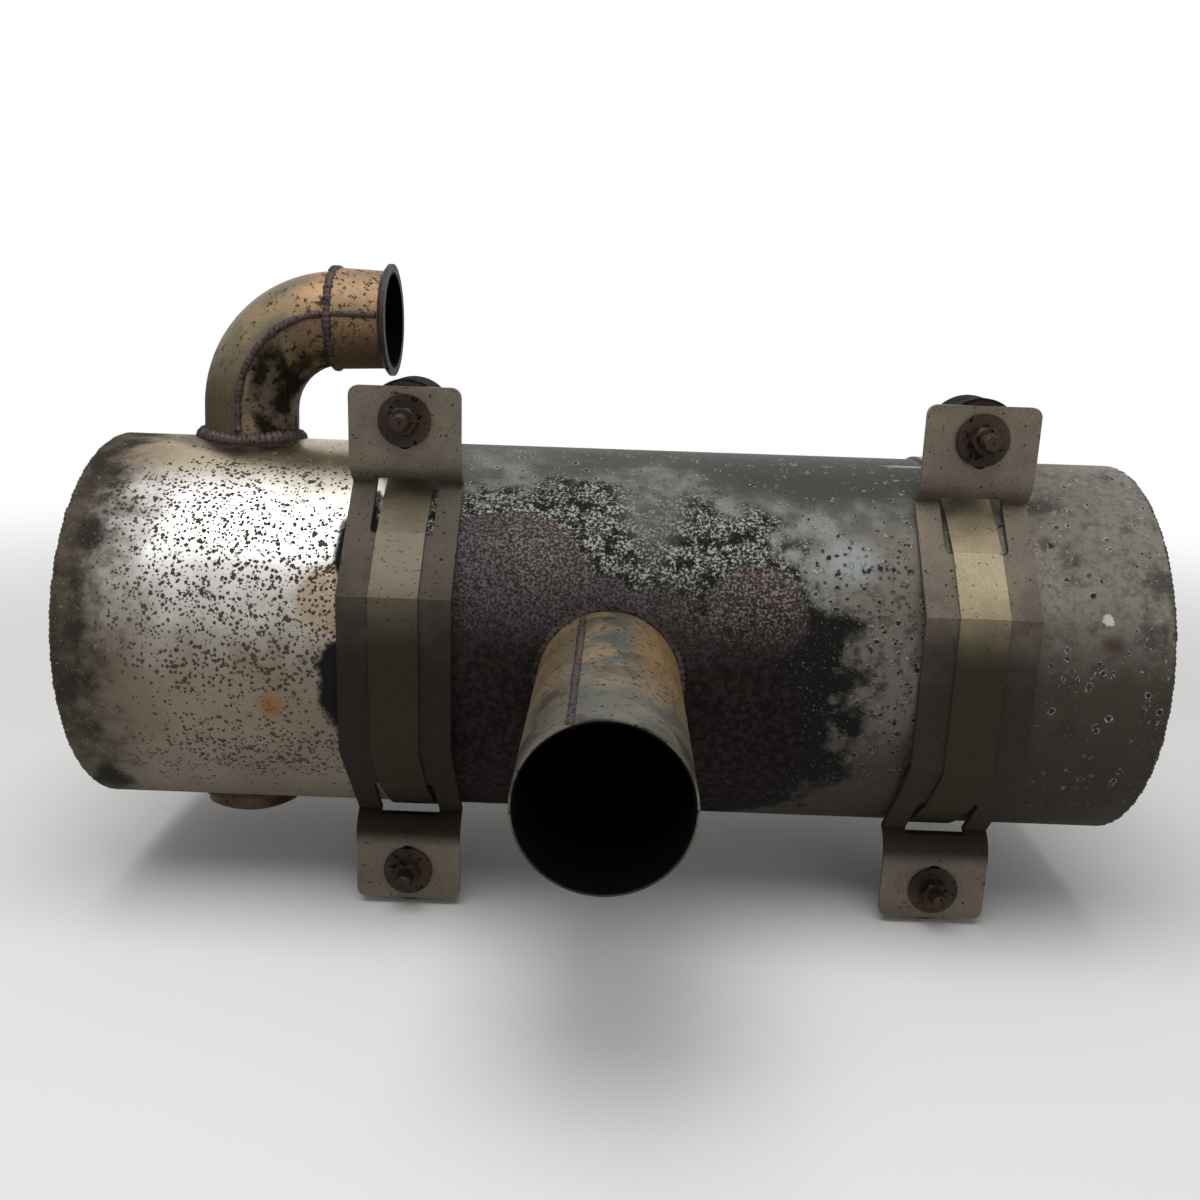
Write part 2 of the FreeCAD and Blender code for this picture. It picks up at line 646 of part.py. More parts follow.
def make_cap():
    """The shallow pressed dome that closes the lower end of the cross tube."""
    edge = "shell_radius + cap_skirt"
    outside = domed("cap_outside", "elbow_tube", edge, "cap_rise")
    inside = domed("cap_inside", "elbow_tube - elbow_wall", f"{edge} + slip_fit", "cap_rise - cap_wall")
    keep_below_can(cut("cap_cut", cut("cap_pressing", outside, inside), can_form()), "inlet_tube_cap")


def keep_below_can(item, label):
    """Name a sub-part that was built upright on the can, and turn it to the cross tube's lower end."""
    return keep(item, label, east=INLET_AT, axis=INLET_DOWN[0], turn=INLET_DOWN[1])


def make_cap_weld():
    """The weld between the cap and the can."""
    keep_below_can(bead_on_can("cap_weld", "elbow_tube", "0.8 * elbow_weld"), "inlet_cap_weld")


# Outlet, built upright and then turned forward
def make_outlet():
    """The outlet tube, from inside the can to its mouth."""
    length = "outlet_reach - outlet_depth"
    outside = rod("outlet_outside", "outlet_radius", length, up="outlet_depth")
    inside = rod("outlet_inside", "outlet_radius - outlet_wall", f"{length} + 2", up="outlet_depth - 1")
    keep(cut("outlet", outside, inside), "outlet_tube", east="0 - outlet_offset",
         axis=FORWARD[0], turn=FORWARD[1])


def make_outlet_seam():
    """The weld along the outlet tube, up and to the left."""
    bead = rod("outlet_seam_bead", "seam_weld", "outlet_reach - shell_radius",
               "0 - outlet_radius * sin(outlet_seam_turn * 1 deg )",
               "outlet_radius * cos(outlet_seam_turn * 1 deg )", "shell_radius")
    tube = rod("outlet_seam_tube", "outlet_radius", f"{FAR}")
    keep(cut("outlet_seam", bead, tube), "outlet_seam_weld", east="0 - outlet_offset",
         axis=FORWARD[0], turn=FORWARD[1])


# Brackets
def flat_corner(first_angle, first_reach, second_angle, second_reach, up=1):
    """Where two flat faces meet, each given by its turn from -Y and its distance from the axis."""
    between = f"sin(( {second_angle} - ( {first_angle} ) ) * 1 deg )"
    back = (f"0 - ( ( {first_reach} ) * sin(( {second_angle} ) * 1 deg )"
            f" - ( {second_reach} ) * sin(( {first_angle} ) * 1 deg ) ) / {between}")
    rise = (f"( ( {second_reach} ) * cos(( {first_angle} ) * 1 deg )"
            f" - ( {first_reach} ) * cos(( {second_angle} ) * 1 deg ) ) / {between}")
    return back, rise if up > 0 else f"0 - ( {rise} )"


SADDLE_IN = "shell_radius + saddle_seat"
SADDLE_OUT = "shell_radius + saddle_seat + saddle_wall"
TAB_FRONT = "axis_setback + isolator_length + saddle_wall"
TAB_END = "( shell_radius + tab_rise )"
SHELF_TOP = "( shell_radius - shelf_drop )"
STUD_UP = "( shell_radius + stud_rise )"


def saddle_side(reach, tab, lift, up):
    """One face of a bracket's sheet, from a tab's edge to the middle kink."""
    slope = "tan(shelf_slope * 1 deg )"
    facet = "tan(facet_angle * 1 deg )"
    sine = "sin(facet_angle * 1 deg )"
    start = f"( {SHELF_TOP} + {lift} - ( {TAB_FRONT} ) * {slope} )"
    back = f"( ( {start} - ( {reach} ) / {sine} ) / ( 1 / {facet} + {slope} ) )"
    sign = "" if up > 0 else "0 - "
    return [
        (f"0 - ( {tab} )", f"{sign}{TAB_END}"),
        (f"0 - ( {tab} )", f"{sign}( {start} + ( {tab} ) * {slope} )"),
        (back, f"{sign}( {start} - {back} * {slope} )"),
        flat_corner("0", reach, "facet_angle", reach, up),
    ]


WINDOW_EDGE = flat_corner("facet_angle", SADDLE_OUT, "strap_leave", "shell_radius + strap_seat")[1]


def make_saddle(side, way):
    """A bracket: one folded sheet with a tab at each end, hugging the can between them."""
    body = new_body(f"saddle_{side}")
    lift = "saddle_wall / cos(shelf_slope * 1 deg )"
    front = saddle_side(SADDLE_OUT, TAB_FRONT, "0", 1)
    front += reversed(saddle_side(SADDLE_OUT, TAB_FRONT, "0", -1))
    rear_tab = "axis_setback + isolator_length"
    rear = saddle_side(SADDLE_IN, rear_tab, lift, 1)
    rear += reversed(saddle_side(SADDLE_IN, rear_tab, lift, -1))
    profile = outline(body, f"saddle_{side}_profile", "YZ_Plane", front + rear[::-1])
    pad(body, profile, "saddle_width")
    middle_x, half = size("saddle_width") / 2, size("window_width") / 2
    tab_z, front_y, wall = number(TAB_END), -number(TAB_FRONT), size("saddle_wall")
    outer_z = number(SHELF_TOP)
    inner_z = number(f"{SHELF_TOP} + {lift} - saddle_wall * tan(shelf_slope * 1 deg )")
    near_z = number(WINDOW_EDGE) + size("window_corner")

    def at_bend(edge, y, z):
        place = edge.CenterOfMass
        return straight(edge, Vector(1, 0, 0)) and abs(place.y - y) < 0.01 and abs(abs(place.z) - z) < 0.5

    def window_corner(edge):
        place = edge.CenterOfMass
        inside = abs(abs(place.x - middle_x) - half) < 0.01 and abs(place.z) < near_z
        return inside and straight(edge, Vector(0, 1, 0))

    def tab_corner(edge):
        return straight(edge, Vector(0, 1, 0)) and abs(abs(edge.CenterOfMass.z) - tab_z) < 0.01

    round_edges(body, f"outer_bends_{side}", "tab_bend", lambda edge: at_bend(edge, front_y, outer_z))
    round_edges(body, f"inner_bends_{side}", "tab_bend - saddle_wall",
                lambda edge: at_bend(edge, front_y + wall, inner_z))
    round_edges(body, f"tab_corners_{side}", "tab_corner", tab_corner)
    middle = "saddle_width / 2"
    for level, sign in (("upper", ""), ("lower", "0 - ")):
        near, far = f"{sign}( {WINDOW_EDGE} - slip_fit )", f"{sign}( shell_radius - window_drop )"
        left, right = f"{middle} - window_width / 2", f"{middle} + window_width / 2"
        window = outline(body, f"window_{level}_{side}", "XZ_Plane",
                         [(left, near), (right, near), (right, far), (left, far)])
        pocket(body, window, backwards=True)
        ends = [f"{STUD_UP} - slot_travel", STUD_UP]
        if sign:
            ends = [f"0 - {STUD_UP}", f"0 - {STUD_UP} + slot_travel"]
        opening = slot(body, f"slot_{level}_{side}", "XZ_Plane", "slot_radius", middle, *ends)
        pocket(body, opening, backwards=True)
    round_edges(body, f"window_corners_{side}", "window_corner", window_corner)
    keep(body, f"saddle_{side}", east=f"{way} * hanger_spacing / 2 - saddle_width / 2")


def make_strap(side, way):
    """A strap: over the bracket in front, round the can, with two bolted ears at the back."""
    body = new_body(f"strap_{side}_band")
    seat = "shell_radius + strap_seat"
    reach = f"{seat} + strap_wall"
    pad(body, ring(body, f"strap_{side}_round", "YZ_Plane", reach), "strap_width")

    def front(grow):
        corners = []
        for up in (1, -1):
            sign = "" if up > 0 else "0 - "
            tangent = (f"0 - ( {seat} + {grow} ) * cos(strap_leave * 1 deg )",
                       f"{sign}( {seat} + {grow} ) * sin(strap_leave * 1 deg )")
            edge = flat_corner("facet_angle", f"{SADDLE_OUT} + {grow}", "strap_leave", f"{seat} + {grow}", up)
            kink = flat_corner("0", f"{SADDLE_OUT} + {grow}", "facet_angle", f"{SADDLE_OUT} + {grow}", up)
            corners += [tangent, edge, kink] if up > 0 else [kink, edge, tangent]
        return corners + [("0", "0")]

    pad(body, outline(body, f"strap_{side}_front", "YZ_Plane", front("strap_wall")), "strap_width")
    gap = "ear_gap / 2"
    ears = outline(body, f"strap_{side}_ears", "YZ_Plane", [
        ("shell_radius / 2", f"0 - {gap} - strap_wall"), (f"{seat} + ear_height", f"0 - {gap} - strap_wall"),
        (f"{seat} + ear_height", f"{gap} + strap_wall"), ("shell_radius / 2", f"{gap} + strap_wall")])
    pad(body, ears, "strap_width")
    pocket(body, ring(body, f"strap_{side}_can", "YZ_Plane", seat), backwards=True)
    pocket(body, outline(body, f"strap_{side}_bracket", "YZ_Plane", front("0")), backwards=True)
    opening = outline(body, f"strap_{side}_gap", "YZ_Plane", [
        ("shell_radius / 2", f"0 - {gap}"), (f"{seat} + 2 * ear_height", f"0 - {gap}"),
        (f"{seat} + 2 * ear_height", gap), ("shell_radius / 2", gap)])
    pocket(body, opening, backwards=True)
    holes = rod(f"strap_{side}_hole", "ear_bolt + slip_fit", "4 * ear_gap", "strap_width / 2",
                f"{seat} + ear_bolt_height", "0 - 2 * ear_gap")
    keep(cut(f"strap_{side}_cut", body, holes), f"strap_{side}",
         east=f"{way} * hanger_spacing / 2 - strap_width / 2")


def hexagon(name, corner, height, up):
    """A hexagon prism that stands on a level."""
    item = bind(DOC.addObject("Part::Prism", name), Circumradius=corner, Height=height)
    item.Polygon = 6
    return put(item, up=up)


def make_strap_bolt(side, way):
    """The bolt and the nut that draw a strap's ears together."""
    east = f"{way} * hanger_spacing / 2"
    back = "axis_setback + shell_radius + strap_seat + ear_bolt_height"
    outer = "ear_gap / 2 + strap_wall"
    head = hexagon(f"strap_head_{side}", "ear_hex", "ear_nut", outer)
    shank = rod(f"strap_shank_{side}", "ear_bolt", f"2 * ( {outer} ) + ear_nut + ear_bolt_tail",
                up=f"0 - ( {outer} ) - ear_nut - ear_bolt_tail")
    keep(fuse(f"strap_bolt_{side}", head, shank), f"strap_bolt_{side}", east, back)
    nut = hexagon(f"strap_nut_hex_{side}", "ear_hex", "ear_nut", f"0 - ( {outer} ) - ear_nut")
    bore = rod(f"strap_nut_bore_{side}", "ear_bolt + slip_fit / 2", f"{FAR}", up=f"0 - {FAR} / 2")
    keep(cut(f"strap_nut_{side}", nut, bore), f"strap_nut_{side}", east, back)


# Isolators and their fasteners, each built along +Z and then turned
def stud(name, radius, length, start="0"):
    """A stud with a chamfered tip."""
    bar = rod(f"{name}_bar", radius, f"{length} - stud_chamfer", up=start)
    tip = bind(DOC.addObject("Part::Cone", f"{name}_tip"), Radius1=radius,
               Radius2=f"{radius} - stud_chamfer", Height="stud_chamfer")
    put(tip, up=f"{start} + {length} - stud_chamfer")
    return fuse(name, bar, tip)


def make_isolator(corner, east, up):
    """A rubber bobbin between two bonded plates, each with a stud."""
    half, waist = "isolator_length / 2", "isolator_radius - isolator_waist"
    body = revolve(f"rubber_{corner}", [
        ("plate_wall", "0"), ("plate_wall", "isolator_radius"),
        ("plate_wall + isolator_band", "isolator_radius"), (f"{half} - waist_length / 2", waist),
        (f"{half} + waist_length / 2", waist),
        ("isolator_length - plate_wall - isolator_band", "isolator_radius"),
        ("isolator_length - plate_wall", "isolator_radius"), ("isolator_length - plate_wall", "0")])
    keep(body, f"isolator_rubber_{corner}", east, "0", up, axis=(0, 0, 1), turn="-90")
    front_plate = rod(f"front_plate_{corner}", "plate_radius", "plate_wall")
    front_stud = stud(f"front_stud_{corner}", "stud_radius", "saddle_wall + stud_tip", "plate_wall")
    keep(fuse(f"front_{corner}", front_plate, front_stud), f"isolator_front_stud_{corner}",
         east, "0 - isolator_length + plate_wall", up, axis=FORWARD[0], turn=FORWARD[1])
    rear_plate = rod(f"rear_plate_{corner}", "plate_radius", "plate_wall")
    rear_stud = stud(f"rear_stud_{corner}", "rear_stud_radius", "rear_stud", "plate_wall")
    keep(fuse(f"rear_{corner}", rear_plate, rear_stud), f"isolator_rear_stud_{corner}",
         east, "0 - plate_wall", up, axis=BACKWARD[0], turn=BACKWARD[1])


def make_tab_fasteners(corner, east, up):
    """The washer and the nut in front of a tab."""
    front = "0 - isolator_length - saddle_wall"
    disc = rod(f"washer_disc_{corner}", "washer_radius", "washer_wall")
    hole = rod(f"washer_hole_{corner}", "stud_radius + washer_play", "3 * washer_wall",
               up="0 - washer_wall")
    keep(cut(f"washer_{corner}", disc, hole), f"stud_washer_{corner}", east, front, up,
         axis=FORWARD[0], turn=FORWARD[1])
    block = hexagon(f"nut_hex_{corner}", "nut_corner", "nut_height", "0")
    crown = bind(DOC.addObject("Part::Cone", f"nut_crown_{corner}"),
                 Radius1="nut_corner + 3 * nut_chamfer", Radius2="nut_corner - nut_chamfer",
                 Height="nut_height")
    bore = rod(f"nut_bore_{corner}", "stud_radius + thread_play", "3 * nut_height", up="0 - nut_height")
    keep(cut(f"nut_{corner}", common(f"nut_form_{corner}", block, crown), bore), f"stud_nut_{corner}",
         east, f"{front} - washer_wall", up, axis=FORWARD[0], turn=FORWARD[1])


def make_model():
    """All sub-parts."""
    make_shell()
    for side, way in (("left", 1), ("right", -1)):
        make_end_plate(side, way)
        make_rim_weld(side, way)
    make_shell_seam()
    make_baffle("left", LEFT_BAFFLE, [LONG_TUBE])
    make_baffle("right", RIGHT_BAFFLE, [LONG_TUBE, SHORT_TUBE])
    past = f"{RIGHT_BAFFLE} + transfer_stick"
    make_transfer_tube("long", f"{LEFT_BAFFLE} - transfer_stick", past, LONG_TUBE)
    make_transfer_tube("short", f"{RIGHT_BAFFLE} - transfer_stick", past, SHORT_TUBE)
    make_cross_tube()
    make_elbow()
    make_elbow_seam("front", -1)
    make_elbow_seam("back", 1)
    make_base_weld("elbow_base_weld", "elbow_tube", "elbow_weld", True)
    make_collar()
    make_flange()
    make_collar_weld()
    make_collar_seam()
    make_cap()
    make_cap_weld()
    make_outlet()
    make_base_weld("outlet_base_weld", "outlet_radius", "outlet_weld", False)
    make_outlet_seam()
    for side, way in (("left", -1), ("right", 1)):
        make_saddle(side, way)
        make_strap(side, way)
        make_strap_bolt(side, way)
        for level, rise in (("upper", 1), ("lower", -1)):
            corner = f"{level}_{side}"
            east, up = f"{way} * hanger_spacing / 2", f"{rise} * {STUD_UP}"
            make_isolator(corner, east, up)
            make_tab_fasteners(corner, east, up)


def check_and_write():
    """Refuse a failed object, then write each sub-part to its own file."""
    DOC.recompute()
    for item in DOC.Objects:
        if "Invalid" in item.State or "Error" in item.State:
            raise RuntimeError(f"{item.Name} failed: {item.State}")
    os.makedirs("parts", exist_ok=True)
    for item in PARTS:
        shape = item.Shape
        if shape.isNull() or not shape.isValid() or not shape.Solids:
            raise RuntimeError(f"{item.Label} has no valid solid")
        shape.exportStep(f"parts/{item.Label}.step")
        print(f"{item.Label}: {len(shape.Solids)} solid(s), {shape.Volume / 1000:.2f} cm3")


make_model()
check_and_write()
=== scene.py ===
"""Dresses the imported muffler: worn steel finishes, weld beads, threads, and a plain stage."""

import math

import bmesh
import bpy
from bpy.props import FloatProperty, FloatVectorProperty, PointerProperty
from mathutils import Matrix, Vector, noise


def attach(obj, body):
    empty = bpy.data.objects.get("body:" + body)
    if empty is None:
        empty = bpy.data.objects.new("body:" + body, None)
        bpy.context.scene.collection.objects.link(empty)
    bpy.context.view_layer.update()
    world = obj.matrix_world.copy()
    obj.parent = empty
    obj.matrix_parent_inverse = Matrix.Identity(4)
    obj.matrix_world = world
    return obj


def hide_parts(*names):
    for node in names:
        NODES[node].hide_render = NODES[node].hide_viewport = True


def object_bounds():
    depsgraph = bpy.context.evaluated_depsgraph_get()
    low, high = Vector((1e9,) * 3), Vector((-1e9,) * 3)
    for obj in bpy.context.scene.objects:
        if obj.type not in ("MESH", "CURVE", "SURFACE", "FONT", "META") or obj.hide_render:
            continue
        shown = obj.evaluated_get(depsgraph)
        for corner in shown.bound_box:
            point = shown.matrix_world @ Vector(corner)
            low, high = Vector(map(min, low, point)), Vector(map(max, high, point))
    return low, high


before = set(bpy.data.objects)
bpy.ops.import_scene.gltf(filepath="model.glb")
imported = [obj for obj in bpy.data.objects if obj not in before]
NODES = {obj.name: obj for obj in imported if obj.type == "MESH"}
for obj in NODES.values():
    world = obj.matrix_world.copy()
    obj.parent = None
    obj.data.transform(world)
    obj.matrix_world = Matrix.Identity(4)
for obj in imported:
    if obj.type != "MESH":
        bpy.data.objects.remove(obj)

bl_info = {
    "name": "Muffler",
    "version": (1, 0, 0),
    "blender": (4, 5, 0),
    "location": "View3D > Sidebar > Muffler",
    "description": "Dresses a worn truck muffler with its elbow, outlet, hangers and isolators",
    "category": "Object",
}

CAD_BOX = [list(corner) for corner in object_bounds()]

# Places in metres, in the part's frame.
CAN_AXIS_Y = 0.037
CAN_RADIUS = 0.1016
OUTLET_X = -0.0369
OUTLET_RADIUS = 0.0349
OUTLET_REACH = 0.2506
OUTLET_SEAM = math.radians(22)
CAN_LEFT = -0.3099
CAN_RIGHT = 0.2361
ELBOW_RADIUS = 0.0254
LEG_X = -0.2419
LEG_TILT = math.radians(6)
BEND_RADIUS = 0.05
BEND_END = math.radians(84)
INLET_HEIGHT = 0.168
STUD_X = 0.1414
STUD_Z = 0.1205
STUD_RADIUS = 0.004
STUD_TIP = 0.0492
NUT_FACE = 0.0413
THREAD_PITCH = 0.00125
THREAD_CREST = 0.0003
THREAD_ROOT = -0.0002
THREAD_SIDES = 24

# A weld has a ring every WELD_STEP metres, and each ring turns its ripple on by RIPPLE_TURN.
WELD_STEP = 0.0009
RIPPLE_TURN = 1.9
LUMPS = 210

# Radii of the weld beads.
RIM_BEAD = 0.0016
ELBOW_FOOT_BEAD = 0.005
OUTLET_FOOT_BEAD = 0.0028
COLLAR_BEAD = 0.0029
OUTLET_SEAM_BEAD = 0.0019
ELBOW_SEAM_BEAD = 0.0021
COLLAR_SEAM_BEAD = 0.0017

# Where the beads lie: how far under a tube's outside, or past it, and where the straight ones run.
ELBOW_FOOT_SINK = 0.0008
COLLAR_BEAD_RISE = 0.0002
COLLAR_BEAD_BACK = 0.0019
OUTLET_SEAM_SINK = 0.0004
OUTLET_SEAM_START = 0.103
OUTLET_SEAM_SHORT = 0.001
ELBOW_SEAM_SINK = 0.0003
ELBOW_SEAM_START = 0.104
ELBOW_SEAM_STEP = 0.0013
COLLAR_SEAM_REACH = 0.0268
COLLAR_SEAM_START = 0.001
COLLAR_SEAM_LENGTH = 0.0235

# Where a bore's finish starts and is whole, as radii.
OUTLET_BORE = (OUTLET_RADIUS - 0.0004, OUTLET_RADIUS - 0.0012)
INLET_BORE = (0.0262, 0.0252)

# The sheet between these places is the middle. Each pair is where the change starts and ends.
LEFT_CHANGE = (-0.138, -0.146)
RIGHT_CHANGE = (0.138, 0.146)

# Marks on the can's sheet: the place along the can and up round it, the half widths, the softness
# of the edge and how ragged it is.
MARKS = {
    "tan_side": ((-0.172, 0.036), (0.02, 0.018), 0.5, 0.5),
    "khaki": ((-0.178, 0.094), (0.032, 0.014), 1.2, 0.6),
    "crowd_high": ((-0.24, 0.078), (0.055, 0.03), 1.2, 0.6),
    "crowd_middle": ((-0.2, 0.03), (0.07, 0.045), 1.2, 0.6),
    "crowd_low": ((-0.215, -0.05), (0.05, 0.018), 1.2, 0.6),
    "crowd_top": ((-0.2, 0.113), (0.06, 0.008), 1.2, 0.5),
    "burnt_low": ((-0.163, -0.008), (0.017, 0.024), 0.25, 1.1),
    "burnt_high": ((-0.161, 0.062), (0.012, 0.03), 0.3, 1.3),
    "burnt_rim": ((-0.298, -0.082), (0.011, 0.014), 0.7, 1.2),
    "rust_spot": ((-0.204, -0.019), (0.0058, 0.006), 1.1, 0.9),
    "near_leg": ((LEG_X, 0.16), (0.034, 0.034), 0.3, 0.3),
    "scale_low": ((-0.055, -0.03), (0.115, 0.08), 0.05, 0.35),
    "scale_left": ((-0.09, 0.045), (0.045, 0.042), 0.1, 0.35),
    "scale_right": ((0.034, 0.036), (0.025, 0.025), 0.15, 0.5),
    "fringe": ((-0.05, -0.01), (0.137, 0.121), 0.12, 0.6),
    "notch": ((-0.017, 0.108), (0.017, 0.04), 0.9, 0.9),
    "brown_side": ((0.105, 0.01), (0.035, 0.07), 0.8, 0.5),
    "blotched": ((0.105, 0.0), (0.05, 0.07), 0.9, 0.6),
    # A painted bluish highlight.
    "blue_highlight": ((0.08, 0.064), (0.013, 0.011), 1.4, 0.9),
    "pale_line": ((0.118, 0.142), (0.011, 0.0016), 0.6, 0.6),
    "pink_right": ((0.034, 0.05), (0.03, 0.022), 1.3, 0.6),
    "pink_left": ((-0.068, 0.072), (0.022, 0.02), 1.4, 0.6),
    "crowded_specks": ((0.172, 0.075), (0.012, 0.03), 1.0, 0.8),
    "scribble": ((0.2, 0.112), (0.03, 0.02), 0.6, 0.5),
    "chip": ((0.204, 0.039), (0.0026, 0.003), 0.3, 1.6),
    "bruise": ((0.207, 0.027), (0.005, 0.004), 1.4, 1.6),
}

# Soot in the crook of the elbow, laid out in the same way as the marks.
CROOK_SOOT = ((LEG_X + BEND_RADIUS, 0.118), (0.036, 0.036), 0.4, 0.8)
CROOK_STREAK = ((LEG_X + 0.018, 0.125), (0.012, 0.03), 0.4, 1.0)

# Flecks by the inlet: their size, their share of the crowd, and the smallest and largest dot.
FLECKS = ((0.002, 1.1, 0.2, 0.54), (0.0032, 0.75, 0.14, 0.44), (0.0055, 0.22, 0.12, 0.38))
LARGE_CRATER = 0.0058
SMALL_CRATER = 0.0034

# The stage.
WHITE = (1, 1, 1, 1)
FLOOR_COLOUR = (0.82, 0.82, 0.81, 1)
FLOOR_RADIUS = 12
FLOOR_SIDES = 96
FLOOR_GAP = 0.001
FLOOR_FADE = (0.45, 1.6)
KEY_SIZE, KEY_PLACE, KEY_AIM = 1.1, (-0.15, -0.35, 1.25), (-0.05, 0.03, 0)
FILL_SIZE, FILL_PLACE, FILL_AIM = 1.2, (0.7, -1.5, 0.55), (0, 0.03, 0)
CAMERA_PLACE = (-0.0369, -0.6011, 0.1744)
CAMERA_SENSOR = 36
CAMERA_CLIP = 0.01


class Shade:
    """Shades of the can's sheet, and of deep soot, that no setting changes."""

    BROWNED_PALE = (0.2, 0.165, 0.12)
    TAN_SIDE = (0.27, 0.2, 0.13)
    KHAKI = (0.2, 0.17, 0.1)
    FLECK_DARK = (0.03, 0.026, 0.019)
    FLECK_PALE = (0.075, 0.064, 0.045)
    RIM_HAZE = (0.1, 0.08, 0.055)
    GRIME_DARK = (0.03, 0.023, 0.018)
    GRIME_PALE = (0.085, 0.07, 0.052)
    GRIME_GRIT = (0.3, 0.27, 0.22)
    # Darker round the foot of the elbow's leg.
    LEG_FOOT_DARK = (0.05, 0.036, 0.03)

    OLIVE_PALE = (0.155, 0.155, 0.135)
    OLIVE_SPECK = (0.03, 0.029, 0.026)
    DARK_TOP = (0.03, 0.029, 0.024)
    BROWN_SIDE = (0.115, 0.1, 0.083)
    BLOTCH = (0.035, 0.028, 0.023)
    # A painted bluish highlight on the middle's sheet.
    BLUE_HIGHLIGHT = (0.2, 0.215, 0.22)
    # Painted shade low on the middle of the can.
    PAINTED_SHADE_BELOW = (0.04, 0.032, 0.026)
    PALE_LINE = (0.4, 0.38, 0.34)
    ASH_DARK = (0.02, 0.021, 0.018)
    ASH_PALE = (0.37, 0.37, 0.34)
    ASH_PIT = (0.009, 0.009, 0.008)
    ASH_GRIT = (0.2, 0.2, 0.18)
    CHAR = (0.008, 0.0075, 0.007)
    CHAR_GRIT = (0.13, 0.12, 0.11)
    # Painted shade on the scale low round the outlet.
    CRUST_SHADED_LOW = (0.0065, 0.0045, 0.004)
    CRUST_HIGH = (0.028, 0.023, 0.023)
    CRUST_GRIT = (0.13, 0.115, 0.112)
    PINK = (0.36, 0.26, 0.2)
    CRATER_RING = (0.36, 0.36, 0.32)
    CRATER_POCK = (0.016, 0.012, 0.01)

    FILM_DARK = (0.15, 0.135, 0.112)
    FILM_PALE = (0.19, 0.175, 0.15)
    # Painted shade low on the far end.
    FILM_SHADE_BELOW = (0.023, 0.017, 0.013)
    FILM_SPOT = (0.04, 0.033, 0.026)
    FILM_CLOUD = (0.025, 0.02, 0.016)
    FILM_SPECK = (0.42, 0.39, 0.34)
    SCRATCH = (0.5, 0.47, 0.42)
    CHIP = (0.5, 0.45, 0.37)
    BRUISE = (0.03, 0.014, 0.011)

    DEEP_SOOT = (0.0015, 0.0015, 0.0015)


def colour(name, text, default):
    return FloatVectorProperty(
        name=name, description=text, default=default, size=3, min=0, max=1, subtype="COLOR"
    )


def angle(name, text, default):
    return FloatProperty(name=name, description=text, default=default, subtype="ANGLE")


def power(name, text, default):
    return FloatProperty(name=name, description=text, default=default, min=0, unit="POWER")


class MufflerFinishes(bpy.types.PropertyGroup):
    """Colours of the worn metal, scale, rust and rubber."""

    silver: colour("Bare steel", "Bright stainless sheet at the inlet end", (0.6, 0.59, 0.57))
    gold: colour("Heat tint", "Gold-tan tint on hot stainless", (0.4, 0.31, 0.19))
    # The tan is partly painted shade: it darkens the lower half of the inlet end.
    tan: colour("Browned sheet", "Tan-brown tint low on the inlet end", (0.15, 0.112, 0.073))
    olive: colour("Dull steel", "Dull green-grey sheet in the middle", (0.072, 0.072, 0.061))
    brown: colour("Browned steel", "Grey-brown sheet at the far end", (0.045, 0.034, 0.025))
    scale: colour("Scale", "Matte purple-brown scale round the outlet", (0.022, 0.016, 0.0145))
    soot: colour("Soot", "Soot and burnt patches", (0.009, 0.009, 0.009))
    rust: colour("Rust", "Orange rust spot by the inlet", (0.22, 0.1, 0.025))
    weld: colour("Weld", "Oxidised purple-brown weld metal", (0.036, 0.025, 0.023))
    bracket: colour("Bracket", "Warm grey-brown bracket steel", (0.125, 0.1, 0.08))
    strap: colour("Strap", "Olive-grey strap steel", (0.235, 0.195, 0.125))
    fastener: colour("Fastener", "Dark brown rusted fasteners", (0.012, 0.007, 0.0048))
    rubber: colour("Rubber", "Perished black rubber", (0.012, 0.011, 0.01))


class MufflerStage(bpy.types.PropertyGroup):
    """Floor, lamps and camera."""

    lens: FloatProperty(name="Lens", description="Camera lens", default=34.587, unit="CAMERA")
    pitch: angle("Pitch", "How far the camera looks down", 0.2432)
    heading: angle("Heading", "How far the camera turns from the outlet's axis", -0.0101)
    roll: angle("Roll", "How far the camera leans", 0.0334)
    key: power("Key lamp", "Power of the lamp overhead", 15)
    fill: power("Fill lamp", "Power of the lamp beside the camera", 2)
    daylight: FloatProperty(
        name="Daylight", description="Strength of the light all round", default=0.35, min=0
    )


class MufflerSettings(bpy.types.PropertyGroup):
    """All settings of the muffler."""

    finishes: PointerProperty(type=MufflerFinishes)
    stage: PointerProperty(type=MufflerStage)


